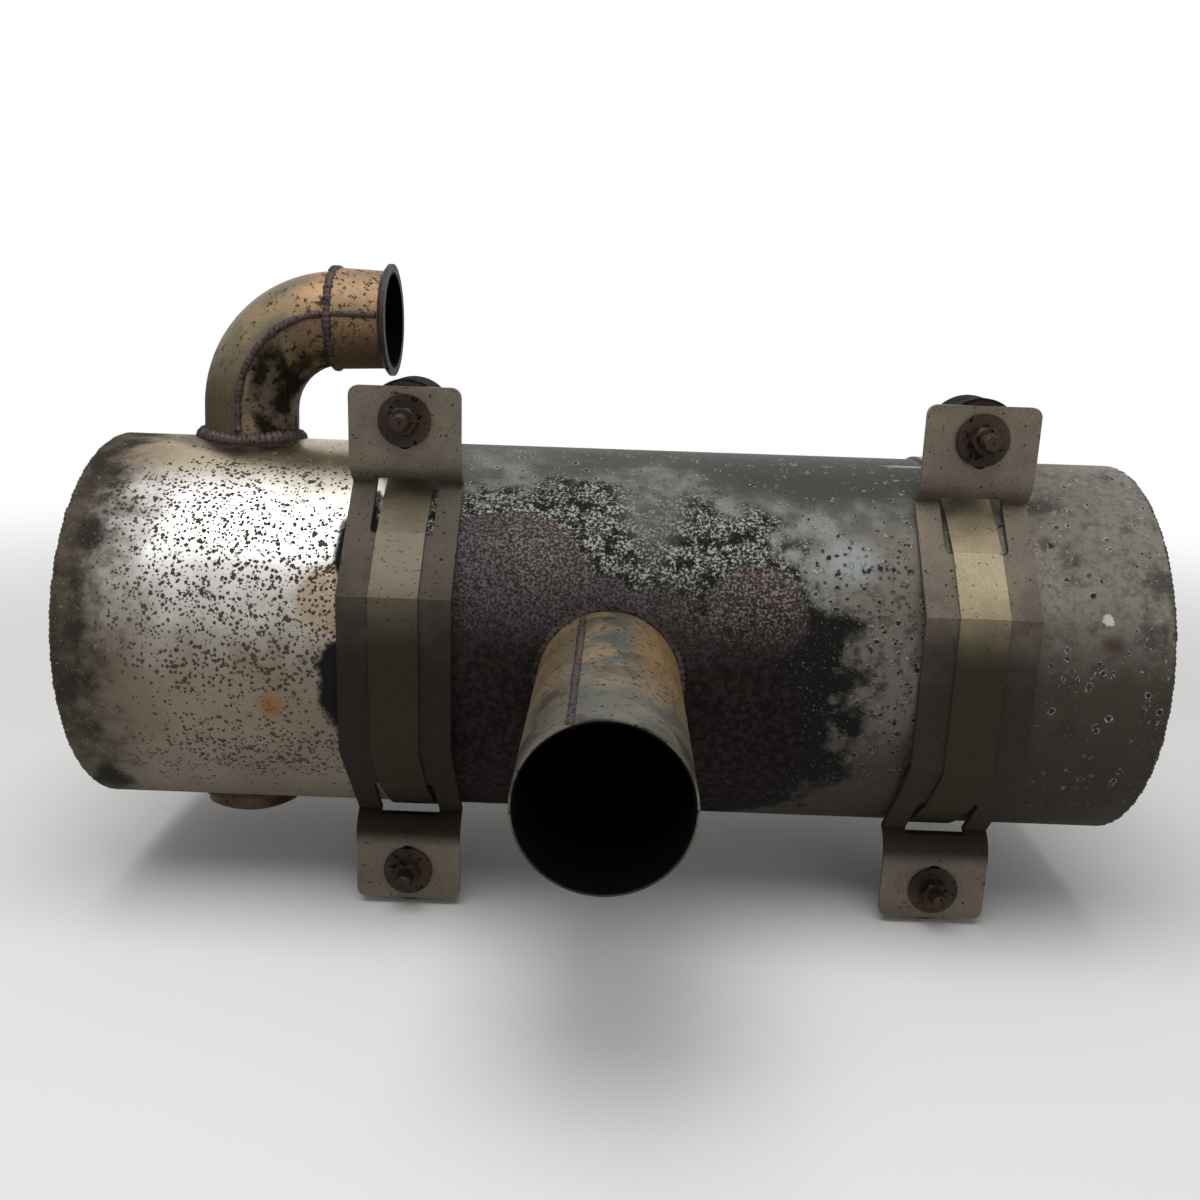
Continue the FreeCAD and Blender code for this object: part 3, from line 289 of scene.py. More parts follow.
class Finish:
    """One worn finish: its material, and short calls that add and join its nodes."""

    def __init__(self, name):
        self.material = bpy.data.materials.new(name)
        self.material.use_nodes = True
        self.tree = self.material.node_tree
        self.shader = self.tree.nodes["Principled BSDF"]
        self.place = self.node("ShaderNodeTexCoord").outputs["Object"]
        self.x, self.y, self.z = self.node("ShaderNodeSeparateXYZ", self.place).outputs

    def node(self, kind, *values, **options):
        """A new node, with its inputs set or joined in order. None leaves an input alone."""
        made = self.tree.nodes.new(kind)
        for option, value in options.items():
            setattr(made, option, value)
        for socket, value in zip(made.inputs, values):
            self.join(value, socket)
        count = len(self.tree.nodes)
        made.location = (-200 * (count % 12) - 300, -220 * (count // 12))
        return made

    def join(self, value, socket):
        if isinstance(value, bpy.types.NodeSocket):
            self.tree.links.new(value, socket)
        elif value is not None:
            if socket.type == "RGBA" and len(value) == 3:
                value = (*value, 1)
            socket.default_value = value

    def sums(self, operation, *values):
        return self.node("ShaderNodeMath", *values, operation=operation).outputs[0]

    def chain(self, operation, values):
        """Works through the values from left to right, two at a time."""
        total, *others = values
        for value in others:
            total = self.sums(operation, total, value)
        return total

    def add(self, *values):
        return self.chain("ADD", values)

    def times(self, *values):
        return self.chain("MULTIPLY", values)

    def most(self, *values):
        return self.chain("MAXIMUM", values)

    def less(self, value, other):
        return self.sums("SUBTRACT", value, other)

    def rest(self, share):
        return self.less(1.0, share)

    def stir(self, value, cloud, amount):
        """The value, shaken by a noise round its middle."""
        return self.add(value, self.times(self.less(cloud, 0.5), amount))

    def rise(self, value, low, high):
        """0 below low, 1 above high, smooth between. With low above high it falls instead."""
        made = self.node("ShaderNodeMapRange", value, low, high, 0.0, 1.0, interpolation_type="SMOOTHSTEP")
        return made.outputs[0]

    def level(self, share, first, second):
        """Goes from the number first to second as share goes from 0 to 1."""
        return self.node("ShaderNodeMapRange", share, 0.0, 1.0, first, second).outputs[0]

    def blend(self, share, first, second):
        """Goes from the colour first to second as share goes from 0 to 1."""
        made = self.node("ShaderNodeMix", data_type="RGBA")
        for name, value in (("Factor_Float", share), ("A_Color", first), ("B_Color", second)):
            self.join(value, next(s for s in made.inputs if s.identifier == name))
        return next(s for s in made.outputs if s.identifier == "Result_Color")

    def lay(self, under, over, share, amount):
        """Lays a colour over another where the share says, by the amount."""
        return self.blend(self.times(share, amount), under, over)

    def grain(self, size, detail=4.0, rough=0.55, bend=0.0):
        """Cloudy noise whose lumps are about size metres across."""
        made = self.node(
            "ShaderNodeTexNoise", self.place, None, 1 / size, detail, rough, 2.0, None, None, bend
        )
        return made.outputs[0]

    def cells(self, size, shake, amount):
        """Ragged cells: how far each place is from its cell's middle, and three lots per cell."""
        made = self.node("ShaderNodeTexVoronoi", self.shaken(shake * size, amount * size), None, 1 / size)
        return made.outputs["Distance"], self.node("ShaderNodeSeparateXYZ", made.outputs["Color"]).outputs

    def shaken(self, size, amount):
        """The place moved a little by noise, so that edges turn ragged."""
        cloud = self.node("ShaderNodeTexNoise", self.place, None, 1 / size, 3.0, 0.6).outputs["Color"]
        centred = self.node("ShaderNodeVectorMath", cloud, (0.5, 0.5, 0.5), operation="SUBTRACT").outputs[0]
        moved = self.node("ShaderNodeVectorMath", operation="SCALE")
        self.join(centred, moved.inputs[0])
        self.join(amount, moved.inputs["Scale"])
        return self.node("ShaderNodeVectorMath", self.place, moved.outputs[0], operation="ADD").outputs[0]

    def from_axis(self, across, up):
        """How far a place is from an axis."""
        reach = self.node("ShaderNodeCombineXYZ", across, up, 0.0).outputs[0]
        return self.node("ShaderNodeVectorMath", reach, operation="LENGTH").outputs["Value"]

    def splatter(self, size, amount, smallest, largest):
        """1 on scattered ragged dots, at most size metres across, on that amount of the cells."""
        far, lots = self.cells(size, 0.5, 0.95)
        dot = self.rise(self.less(self.level(lots[1], smallest, largest), far), 0.0, 0.05)
        return self.times(dot, self.rise(self.less(amount, lots[0]), 0.0, 0.03))

    def craters(self, size, rarity, where):
        """Dark pocks and the pale rings round them, where the share says. rarity near 1 leaves few."""
        far, lots = self.cells(size, 0.55, 0.6)
        chosen = self.times(self.rise(self.less(lots[0], rarity), 0.0, 0.03), where)
        pock = self.times(self.rise(far, 0.27, 0.16), chosen)
        return pock, self.times(self.rise(far, 0.38, 0.29), self.rise(far, 0.14, 0.22), chosen)

    def patch(self, at, radii, edge, ragged, across, up, cloud):
        """1 inside an ellipse round a place, 0 outside, with a ragged edge."""
        far = self.sums("DIVIDE", self.less(across, at[0]), radii[0])
        high = self.sums("DIVIDE", self.less(up, at[1]), radii[1])
        reach = self.sums("SQRT", self.add(self.times(far, far), self.times(high, high)))
        return self.rise(self.stir(reach, cloud, ragged), 1 + edge / 2, 1 - edge / 2)

    def mark(self, name, cloud=None):
        """1 on a named mark of the can's sheet."""
        return self.patch(*MARKS[name], self.x, self.up, cloud or self.cloud)

    def finish(self, base, metallic, roughness, specular, height, depth):
        self.join(base, self.shader.inputs["Base Color"])
        self.join(metallic, self.shader.inputs["Metallic"])
        self.join(roughness, self.shader.inputs["Roughness"])
        self.join(specular, self.shader.inputs["Specular IOR Level"])
        bump = self.node("ShaderNodeBump")
        bump.inputs["Strength"].default_value = 1.0
        bump.inputs["Distance"].default_value = depth
        self.join(height, bump.inputs["Height"])
        self.join(bump.outputs[0], self.shader.inputs["Normal"])
        return self.material


def dress(material, *nodes):
    """Gives CAD nodes a finish."""
    for node in nodes:
        mesh = NODES[node].data
        mesh.materials.clear()
        mesh.materials.append(material)


def named(*starts):
    """The CAD nodes whose names start so."""
    return [node for node in NODES if node.startswith(starts)]


def inlet_end(s, tone):
    """Bright sheet with a gold tint, tan and painted shade low down, corrosion flecks, rim dirt and burnt
    patches.
    """
    # Tan low on the inlet end and at its back: partly a browned tint, partly painted shade that darkens the
    # lower half.
    browned = s.most(s.rise(s.stir(s.up, s.cloud, 0.05), 0.072, -0.01), s.back)
    sheet = s.lay(tone.silver, tone.gold, s.rise(s.up, 0.09, 0.125), 0.93)
    sheet = s.lay(sheet, s.blend(s.rise(s.broad, 0.4, 0.65), tone.tan, Shade.BROWNED_PALE), browned, 0.93)
    sheet = s.lay(sheet, Shade.TAN_SIDE, s.mark("tan_side"), 0.9)
    sheet = s.lay(sheet, Shade.KHAKI, s.mark("khaki"), 0.6)
    crowd = s.add(
        s.times(s.mark("crowd_high"), 0.95),
        s.times(s.mark("crowd_middle"), 0.95),
        s.times(s.mark("crowd_low"), 0.85),
        s.times(s.mark("crowd_top"), 0.5),
        0.1,
    )
    patchy = s.times(crowd, s.level(s.rise(s.grain(0.011, 3.0, 0.6), 0.34, 0.62), 0.35, 1.25))
    fleck = s.most(*(
        s.splatter(size, s.times(patchy, share), smallest, largest)
        for size, share, smallest, largest in FLECKS
    ))
    edge = s.stir(s.stir(s.x, s.cloud, 0.05), s.fine, 0.015)
    rim_dirt = s.rise(edge, -0.277, -0.3)
    rim_haze = s.rise(edge, -0.245, -0.295)
    burnt = s.most(s.mark("burnt_low"), s.mark("burnt_high"), s.times(s.mark("burnt_rim"), 0.8))
    sheet = s.blend(fleck, sheet, s.blend(s.dust, Shade.FLECK_DARK, Shade.FLECK_PALE))
    sheet = s.lay(sheet, Shade.RIM_HAZE, rim_haze, 0.7)
    grime = s.blend(s.rise(s.cloud, 0.4, 0.65), Shade.GRIME_DARK, Shade.GRIME_PALE)
    grime = s.blend(s.rise(s.dust, 0.64, 0.7), grime, Shade.GRIME_GRIT)
    sheet = s.blend(rim_dirt, sheet, grime)
    sheet = s.blend(burnt, sheet, tone.soot)
    sheet = s.lay(sheet, tone.rust, s.mark("rust_spot"), 0.8)
    dull = s.most(s.times(fleck, 0.9), s.times(rim_haze, 0.75), rim_dirt, burnt, s.times(browned, 0.45))
    return sheet, dull, fleck


def dull_sheet(s, tone):
    """The middle's plain sheet: mottled, dark on top, painted shade below, browned to one side."""
    dark_olive = [0.7 * value for value in tone.olive]
    sheet = s.blend(s.rise(s.cloud, 0.38, 0.66), dark_olive, Shade.OLIVE_PALE)
    sheet = s.lay(sheet, Shade.OLIVE_SPECK, s.rise(s.dust, 0.5, 0.66), 0.5)
    dark_top = s.rise(s.stir(s.add(s.up, s.times(s.x, 0.25)), s.broad, 0.12), 0.1, 0.13)
    sheet = s.lay(sheet, Shade.DARK_TOP, dark_top, 0.93)
    sheet = s.lay(sheet, Shade.BROWN_SIDE, s.mark("brown_side"), 0.85)
    blotched = s.times(s.rise(s.grain(0.007, 4.0, 0.7), 0.5, 0.6), s.mark("blotched"))
    sheet = s.lay(sheet, Shade.BLOTCH, blotched, 0.7)
    # A painted bluish highlight.
    sheet = s.lay(sheet, Shade.BLUE_HIGHLIGHT, s.mark("blue_highlight"), 0.75)
    # Painted shade low on the can and at its back.
    sheet = s.blend(s.most(s.rise(s.up, 0.0, -0.05), s.back), sheet, Shade.PAINTED_SHADE_BELOW)
    return s.lay(sheet, Shade.PALE_LINE, s.mark("pale_line"), 0.7)


def middle_sheet(s, tone):
    """Dull sheet, a granular black and white fringe, and matte scale round the outlet, darker low down with
    painted shade.
    """
    scaled = s.most(s.mark("scale_low"), s.mark("scale_left"), s.mark("scale_right"))
    fringe = s.times(s.mark("fringe"), s.rest(s.times(s.mark("notch"), 0.75)))
    ash = s.blend(s.rise(s.dust, 0.47, 0.6), Shade.ASH_DARK, Shade.ASH_PALE)
    gritty = s.blend(s.rise(s.dust, 0.6, 0.68), Shade.ASH_PIT, Shade.ASH_GRIT)
    ash = s.blend(s.rise(s.grain(0.007, 4.0, 0.75), 0.5, 0.58), ash, gritty)
    char = s.blend(s.rise(s.dust, 0.6, 0.7), Shade.CHAR, Shade.CHAR_GRIT)
    sheet = s.blend(fringe, dull_sheet(s, tone), s.blend(s.rise(s.up, 0.035, 0.06), char, ash))
    # The crust is darker low down: painted shade.
    shaded_crust = s.blend(s.rise(s.fine, 0.4, 0.65), Shade.CRUST_SHADED_LOW, tone.scale)
    crust_high = s.blend(s.rise(s.dust, 0.42, 0.62), Shade.CRUST_HIGH, Shade.CRUST_GRIT)
    crust = s.blend(s.rise(s.stir(s.up, s.cloud, 0.04), 0.0, 0.07), shaded_crust, crust_high)
    blushed = s.most(s.mark("pink_right"), s.times(s.mark("pink_left"), 0.8))
    crust = s.lay(crust, Shade.PINK, s.times(s.rise(s.dust, 0.52, 0.6), blushed), 0.42)
    return s.blend(scaled, sheet, crust), s.most(scaled, fringe), scaled


def far_end(s, tone):
    """Brown-grey film with light specks, scribbled scratches, one pale chip and painted shade low down."""
    film = s.blend(s.rise(s.broad, 0.35, 0.65), Shade.FILM_DARK, Shade.FILM_PALE)
    film = s.blend(s.rise(s.stir(s.up, s.cloud, 0.05), 0.055, 0.0), film, tone.brown)
    # Painted shade low on the can and at its back.
    film = s.blend(s.most(s.rise(s.up, 0.0, -0.07), s.back), film, Shade.FILM_SHADE_BELOW)
    film = s.lay(film, Shade.FILM_SPOT, s.rise(s.fine, 0.45, 0.62), 0.4)
    film = s.lay(film, Shade.FILM_CLOUD, s.rise(s.cloud, 0.5, 0.66), 0.7)
    rim = s.rise(s.stir(s.x, s.cloud, 0.02), 0.216, 0.23)
    crowded = s.most(s.times(rim, 0.8), s.rise(s.cloud, 0.52, 0.62), s.mark("crowded_specks"))
    higher = s.level(s.rise(s.up, -0.03, 0.05), 0.3, 1.0)
    specks = s.times(s.rise(s.dust, 0.6, 0.68), higher, s.rest(s.back), crowded)
    film = s.lay(film, Shade.FILM_SPECK, specks, 0.8)
    scribble = s.rise(s.sums("ABSOLUTE", s.less(s.grain(0.03, 2.0, 0.5, bend=1.0), 0.5)), 0.006, 0.0)
    broken = s.rise(s.grain(0.012, 2.0, 0.5), 0.5, 0.55)
    film = s.lay(film, Shade.SCRATCH, s.times(scribble, s.mark("scribble"), broken), 0.7)
    film = s.lay(film, Shade.CHIP, s.mark("chip", s.fine), 0.9)
    return s.lay(film, Shade.BRUISE, s.mark("bruise", s.fine), 0.7)


def can_sheet(tone):
    """The can's sheet: bright and pitted by the inlet, scaled round the outlet, browned at the far end,
    with painted shade low down.

    s.up is the way up round the can from its front, and s.back is 1 at the back, where that way ends.
    """
    s = Finish("can_sheet")
    s.up = s.times(s.sums("ARCTAN2", s.z, s.less(CAN_AXIS_Y, s.y)), CAN_RADIUS)
    s.cloud = s.grain(0.02, 5.0, 0.6)
    s.back = s.rise(s.stir(s.up, s.cloud, 0.08), 0.17, 0.27)
    s.broad = s.grain(0.07, 3.0, 0.5)
    s.fine = s.grain(0.0035, 4.0, 0.65)
    s.dust = s.grain(0.0014, 3.0, 0.7)
    left = s.rise(s.x, *LEFT_CHANGE)
    right = s.rise(s.x, *RIGHT_CHANGE)
    bright, left_dull, fleck = inlet_end(s, tone)
    middle, matte, scaled = middle_sheet(s, tone)
    field = s.times(s.rest(matte), s.rest(left), s.rise(s.up, -0.09, -0.02), s.rise(s.back, 0.6, 0.0))
    pitted = s.times(s.rise(s.x, 0.05, 0.08), s.rise(s.up, 0.085, 0.06), s.rest(right))
    large_pock, large_ring = s.craters(LARGE_CRATER, s.less(0.82, s.times(pitted, 0.6)), field)
    rarity = s.less(s.level(right, 0.62, 0.9), s.times(pitted, 0.35))
    small_pock, small_ring = s.craters(SMALL_CRATER, rarity, s.times(field, s.rise(s.cloud, 0.4, 0.5)))
    pock = s.most(large_pock, small_pock)
    ring = s.most(large_ring, small_ring)
    sheet = s.blend(left, middle, bright)
    sheet = s.blend(right, sheet, far_end(s, tone))
    grainy_ring = s.times(ring, s.rise(s.dust, 0.42, 0.55))
    sheet = s.lay(sheet, Shade.CRATER_RING, grainy_ring, s.level(pitted, 0.75, 0.3))
    # Darker round the foot of the elbow's leg.
    sheet = s.lay(sheet, Shade.LEG_FOOT_DARK, s.times(s.mark("near_leg"), left), 0.8)
    sheet = s.blend(pock, sheet, Shade.CRATER_POCK)
    dull = s.level(left, s.level(right, s.level(matte, 0.45, 1.0), 0.7), left_dull)
    height = s.add(
        s.times(fleck, left, -0.6),
        s.times(s.fine, scaled, 1.3),
        s.times(s.dust, matte, 1.0),
        s.times(pock, -1.0),
        s.times(ring, 0.7),
        s.times(s.cloud, 0.5),
    )
    return s.finish(
        sheet, metallic=s.rest(dull), roughness=s.stir(s.level(dull, 0.3, 0.85), s.cloud, 0.25),
        specular=s.level(dull, 0.45, 0.08), height=height, depth=0.0006,
    )


def worn_steel(name, plain, dark, light, speck=0.004, metallic=0.6, roughness=0.5, spots=0.62,
               stain=None, tint=None, shade=None, soot=None, specular=0.3):
    """A worn sheet: cloudy tint, dark specks and light scuffs.

    speck is the size of the specks, and spots near 1 leaves few of them. shade is (share, darkness)
    of painted shade, which also dulls the metal there. tint is (share, colour) and soot is a share: a
    share is a function that gives 1 where the finish has it and 0 elsewhere.
    """
    s = Finish(name)
    s.cloud = s.grain(0.02, 5.0, 0.6)
    fine = s.grain(speck, 4.0, 0.65)
    dust = s.grain(speck / 3, 3.0, 0.7)
    base = s.blend(s.rise(s.cloud, 0.35, 0.7), plain, light)
    base = s.lay(base, dark, s.rise(dust, 0.5, 0.7), 0.45)
    spot = s.rise(fine, spots, spots + 0.03)
    base = s.blend(spot, base, dark)
    if stain:
        base = s.blend(s.rise(s.grain(0.03, 4.0, 0.6), 0.5, 0.62), base, stain)
    worn = s.times(spot, 0.9)
    if tint:
        share, colour_there = tint
        base = s.blend(share(s), base, s.blend(s.rise(fine, 0.52, 0.64), colour_there, dark))
    # Painted shade: the sheet turns dark and speckled where the share says, and its metal dulls there.
    if shade:
        share, darkness = shade
        shaded = share(s)
        black = [darkness * value for value in plain]
        speckled_shade = s.blend(s.rise(dust, 0.4, 0.7), black, [1.7 * value for value in black])
        base = s.lay(base, speckled_shade, shaded, 0.97)
        worn = s.most(worn, s.times(shaded, 0.85))
    if soot:
        sooted = soot(s)
        base = s.blend(sooted, base, Shade.DEEP_SOOT)
        worn = s.most(worn, sooted)
    return s.finish(
        base,
        metallic=s.level(worn, metallic, 0.05),
        roughness=s.stir(s.level(worn, roughness, 0.85), s.cloud, 0.25),
        specular=s.level(worn, specular, 0.04),
        height=s.add(s.times(spot, -0.5), s.times(dust, 0.35), s.times(s.cloud, 0.4)),
        depth=0.0004,
    )


def rusted_steel(name, tone, speck):
    """Dark rust of studs, washers, nuts and bolts."""
    return worn_steel(
        name, tone.fastener, (0.006, 0.004, 0.003), (0.05, 0.028, 0.015), speck=speck, metallic=0.15,
        spots=0.6, specular=0.25,
    )


def below(high, low):
    """The share of a sheet that lies below a ragged height, where painted shade goes."""
    return lambda s: s.rise(s.stir(s.z, s.cloud, 0.008), high, low)


def on_rails(high):
    """The share of a bracket in painted shade: between its shelves, from high at the top to all of it at
    the bottom.
    """
    def share(s):
        down = s.level(s.rise(s.stir(s.z, s.cloud, 0.05), 0.065, 0.0), high, 1.0)
        return s.times(down, s.rise(s.z, 0.098, 0.088), s.rise(s.z, -0.108, -0.098))

    return share


def near_can(s):
    """The share of the outlet tube that the can's heat has tinted."""
    along = s.rise(s.stir(s.y, s.cloud, 0.06), -0.2, -0.115)
    east = s.rise(s.x, OUTLET_X + 0.004, OUTLET_X + 0.022)
    west = s.times(s.rise(s.x, OUTLET_X - 0.008, OUTLET_X - 0.024), 0.5)
    return s.times(along, s.most(east, west, s.times(s.rise(s.cloud, 0.44, 0.6), 0.6)), 0.9)


def near_collar(s):
    """The share of the elbow that is tinted orange towards the collar."""
    return s.times(s.rise(s.stir(s.x, s.cloud, 0.04), -0.222, -0.198), s.rise(s.z, 0.13, 0.15), 0.75)


def inside_outlet(s):
    """1 on the bore of the outlet tube."""
    return s.rise(s.from_axis(s.less(s.x, OUTLET_X), s.z), *OUTLET_BORE)


def inside_inlet(s):
    """1 on the bore of the collar and the flange."""
    high = s.less(s.z, INLET_HEIGHT * math.cos(LEG_TILT))
    deep = s.less(s.y, CAN_AXIS_Y + INLET_HEIGHT * math.sin(LEG_TILT))
    return s.rise(s.from_axis(high, deep), *INLET_BORE)


def below_bend(s):
    """1 in the crook of the elbow, where soot has run."""
    near, streak = (s.patch(*spot, s.x, s.z, s.cloud) for spot in (CROOK_SOOT, CROOK_STREAK))
    return s.times(s.most(near, streak), s.rise(s.cloud, 0.38, 0.55), 0.93)


def run_of_rings(name, places, radii, closed=False, sides=12):
    """A mesh of rings set across a line of places, bridged one to the next."""
    shape = bmesh.new()
    rings = []
    last = len(places) - 1
    for index, (place, radius) in enumerate(zip(places, radii)):
        ahead = places[(index + 1) % len(places)] if closed or index < last else place
        behind = places[index - 1] if closed or index > 0 else place
        turn = (ahead - behind).to_track_quat("Z", "Y").to_matrix().to_4x4()
        made = bmesh.ops.create_circle(
            shape, cap_ends=not closed and index in (0, last), radius=radius, segments=sides,
            matrix=Matrix.Translation(place) @ turn,
        )
        ring = set(made["verts"])
        rings.append({edge for vert in ring for edge in vert.link_edges if edge.other_vert(vert) in ring})
    for first, second in zip(rings, rings[1:] + (rings[:1] if closed else [])):
        bmesh.ops.bridge_loops(shape, edges=list(first | second))
    bmesh.ops.recalc_face_normals(shape, faces=shape.faces)
    for face in shape.faces:
        face.smooth = True
    mesh = bpy.data.meshes.new(name)
    shape.to_mesh(mesh)
    shape.free()
    piece = bpy.data.objects.new(name, mesh)
    bpy.context.scene.collection.objects.link(piece)
    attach(piece, "root")
    return piece


def weld_bead(name, node, places, radius, metal, closed=False):
    """A rippled, lumpy run of weld in place of a plain one."""
    radii = [
        radius * (0.93 + 0.13 * math.sin(index * RIPPLE_TURN) + 0.3 * noise.noise(place * LUMPS))
        for index, place in enumerate(places)
    ]
    piece = run_of_rings(name, places, [min(value, 1.2 * radius) for value in radii], closed)
    piece.data.materials.append(metal)
    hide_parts(node)


def stations(length):
    """How many rings a weld of this length takes."""
    return max(8, round(length / WELD_STEP))


def full_turn(radius):
    """The angles of the rings of a weld that closes on itself."""
    count = stations(math.tau * radius)
    return [math.tau * index / count for index in range(count)]


def around(centre, across, up, radius):
    """Places round a full circle."""
    return [
        centre + across * (radius * math.cos(turn)) + up * (radius * math.sin(turn))
        for turn in full_turn(radius)
    ]


def between(start, end):
    """Places along a straight line."""
    count = stations((end - start).length)
    return [start.lerp(end, index / count) for index in range(count + 1)]


def on_inlet(along, across, height):
    """A place on the upright inlet, leaned with it."""
    return Vector((
        LEG_X + along,
        CAN_AXIS_Y + across * math.cos(LEG_TILT) + height * math.sin(LEG_TILT),
        height * math.cos(LEG_TILT) - across * math.sin(LEG_TILT),
    ))


def on_outlet(along, across, height):
    """A place on the outlet, turned forward."""
    return Vector((OUTLET_X + along, CAN_AXIS_Y - height, across))


def round_foot(tube, place):
    """Places along the line where a tube meets the can."""
    places = []
    for turn in full_turn(tube):
        along, across = tube * math.cos(turn), tube * math.sin(turn)
        places.append(place(along, across, math.sqrt(CAN_RADIUS**2 - across**2)))
    return places


def along_elbow(way):
    """Places up one side of the elbow's leg and round its bend."""
    across = way * (ELBOW_RADIUS - ELBOW_SEAM_SINK)
    bend = INLET_HEIGHT - BEND_RADIUS
    steps = round((bend - ELBOW_SEAM_START) / ELBOW_SEAM_STEP)
    places = [on_inlet(0, across, ELBOW_SEAM_START + ELBOW_SEAM_STEP * step) for step in range(steps)]
    count = stations(BEND_RADIUS * BEND_END)
    for step in range(count + 1):
        turn = BEND_END * step / count
        along, height = BEND_RADIUS * (1 - math.cos(turn)), bend + BEND_RADIUS * math.sin(turn)
        places.append(on_inlet(along, across, height))
    return places


class MUFFLER_OT_welds(bpy.types.Operator):
    """Lays rippled welds over the plain ones"""

    bl_idname = "muffler.welds"
    bl_label = "Welds"

    def execute(self, context):
        tone = context.scene.muffler.finishes
        metal = worn_steel(
            "rippled_weld", tone.weld, (0.012, 0.008, 0.007), (0.075, 0.052, 0.045),
            speck=0.002, metallic=0.25, spots=0.58,
        )
        crusted = worn_steel(
            "crusted_weld", tone.scale, (0.01, 0.0075, 0.007), (0.06, 0.05, 0.047),
            speck=0.002, metallic=0.0, roughness=0.8, spots=0.56, specular=0.1,
        )
        east, back, up = Vector((1, 0, 0)), Vector((0, 1, 0)), Vector((0, 0, 1))
        for side, edge in (("left", CAN_LEFT), ("right", CAN_RIGHT)):
            rim = around(Vector((edge, CAN_AXIS_Y, 0)), back, up, CAN_RADIUS - RIM_BEAD)
            weld_bead(f"{side}_rim_bead", f"{side}_rim_weld", rim, RIM_BEAD, metal, closed=True)

        foot = round_foot(ELBOW_RADIUS - ELBOW_FOOT_SINK, on_inlet)
        weld_bead("elbow_base_bead", "elbow_base_weld", foot, ELBOW_FOOT_BEAD, metal, closed=True)
        foot = round_foot(OUTLET_RADIUS, on_outlet)
        weld_bead("outlet_base_bead", "outlet_base_weld", foot, OUTLET_FOOT_BEAD, crusted, closed=True)

        middle = on_inlet(BEND_RADIUS - COLLAR_BEAD_BACK, 0, INLET_HEIGHT)
        across, upward = (on_inlet(0, *way) - on_inlet(0, 0, 0) for way in ((1, 0), (0, 1)))
        ring = around(middle, across, upward, ELBOW_RADIUS + COLLAR_BEAD_RISE)
        weld_bead("collar_bead", "inlet_collar_weld", ring, COLLAR_BEAD, metal, closed=True)

        seat = OUTLET_RADIUS - OUTLET_SEAM_SINK
        left_of_top = (-seat * math.sin(OUTLET_SEAM), seat * math.cos(OUTLET_SEAM))
        start = on_outlet(*left_of_top, OUTLET_SEAM_START)
        seam = between(start, on_outlet(*left_of_top, OUTLET_REACH - OUTLET_SEAM_SHORT))
        weld_bead("outlet_seam_bead", "outlet_seam_weld", seam, OUTLET_SEAM_BEAD, metal)

        for side, way in (("front", -1), ("back", 1)):
            seam = along_elbow(way)
            weld_bead(f"elbow_seam_{side}_bead", f"elbow_seam_weld_{side}", seam, ELBOW_SEAM_BEAD, metal)

        start = on_inlet(BEND_RADIUS + COLLAR_SEAM_START, -COLLAR_SEAM_REACH, INLET_HEIGHT)
        seam = between(start, start + east * COLLAR_SEAM_LENGTH)
        weld_bead("collar_seam_bead", "inlet_collar_seam_weld", seam, COLLAR_SEAM_BEAD, metal)
        return {"FINISHED"}


class MUFFLER_OT_threads(bpy.types.Operator):
    """Adds the ridges of the thread on each front stud"""

    bl_idname = "muffler.threads"
    bl_label = "Threads"

    def execute(self, context):
        rusted = rusted_steel("rusted_thread", context.scene.muffler.finishes, 0.002)
        half = THREAD_PITCH / 2
        steps = range(round((STUD_TIP - NUT_FACE) / half))
        for side, east in (("left", -STUD_X), ("right", STUD_X)):
            for level, up in (("lower", -STUD_Z), ("upper", STUD_Z)):
                places = [Vector((east, -NUT_FACE - half * step, up)) for step in steps]
                radii = [STUD_RADIUS + (THREAD_CREST if step % 2 else THREAD_ROOT) for step in steps]
                piece = run_of_rings(f"stud_thread_{level}_{side}", places, radii, sides=THREAD_SIDES)
                piece.data.materials.append(rusted)
        return {"FINISHED"}


class MUFFLER_OT_can(bpy.types.Operator):
    """Finishes the can, its end plates, its cap and all plain welds"""

    bl_idname = "muffler.can"
    bl_label = "Can"

    def execute(self, context):
        tone = context.scene.muffler.finishes
        dress(can_sheet(tone), "shell")
        ends = worn_steel("end_sheet", (0.05, 0.045, 0.04), (0.02, 0.016, 0.012), (0.09, 0.08, 0.07))
        dress(ends, "left_end_plate", "right_end_plate")
        bead = worn_steel(
            "weld_metal", tone.weld, (0.014, 0.009, 0.008), (0.075, 0.05, 0.045),
            speck=0.003, metallic=0.2, roughness=0.6, spots=0.6, specular=0.15,
        )
        dress(bead, *(node for node in NODES if "weld" in node))
        cap = worn_steel("cap_steel", (0.05, 0.03, 0.02), (0.015, 0.01, 0.008), (0.08, 0.05, 0.035))
        dress(cap, "inlet_tube_cap")
        return {"FINISHED"}


class MUFFLER_OT_inside(bpy.types.Operator):
    """Finishes the baffles and tubes inside the can"""

    bl_idname = "muffler.inside"
    bl_label = "Inside"

    def execute(self, context):
        sooted = worn_steel(
            "sooted_steel", (0.012, 0.012, 0.011), (0.004, 0.004, 0.004), (0.02, 0.019, 0.017),
            metallic=0.0, specular=0.05,
        )
        dress(sooted, *named("baffle", "transfer", "inlet_cross"))
        return {"FINISHED"}


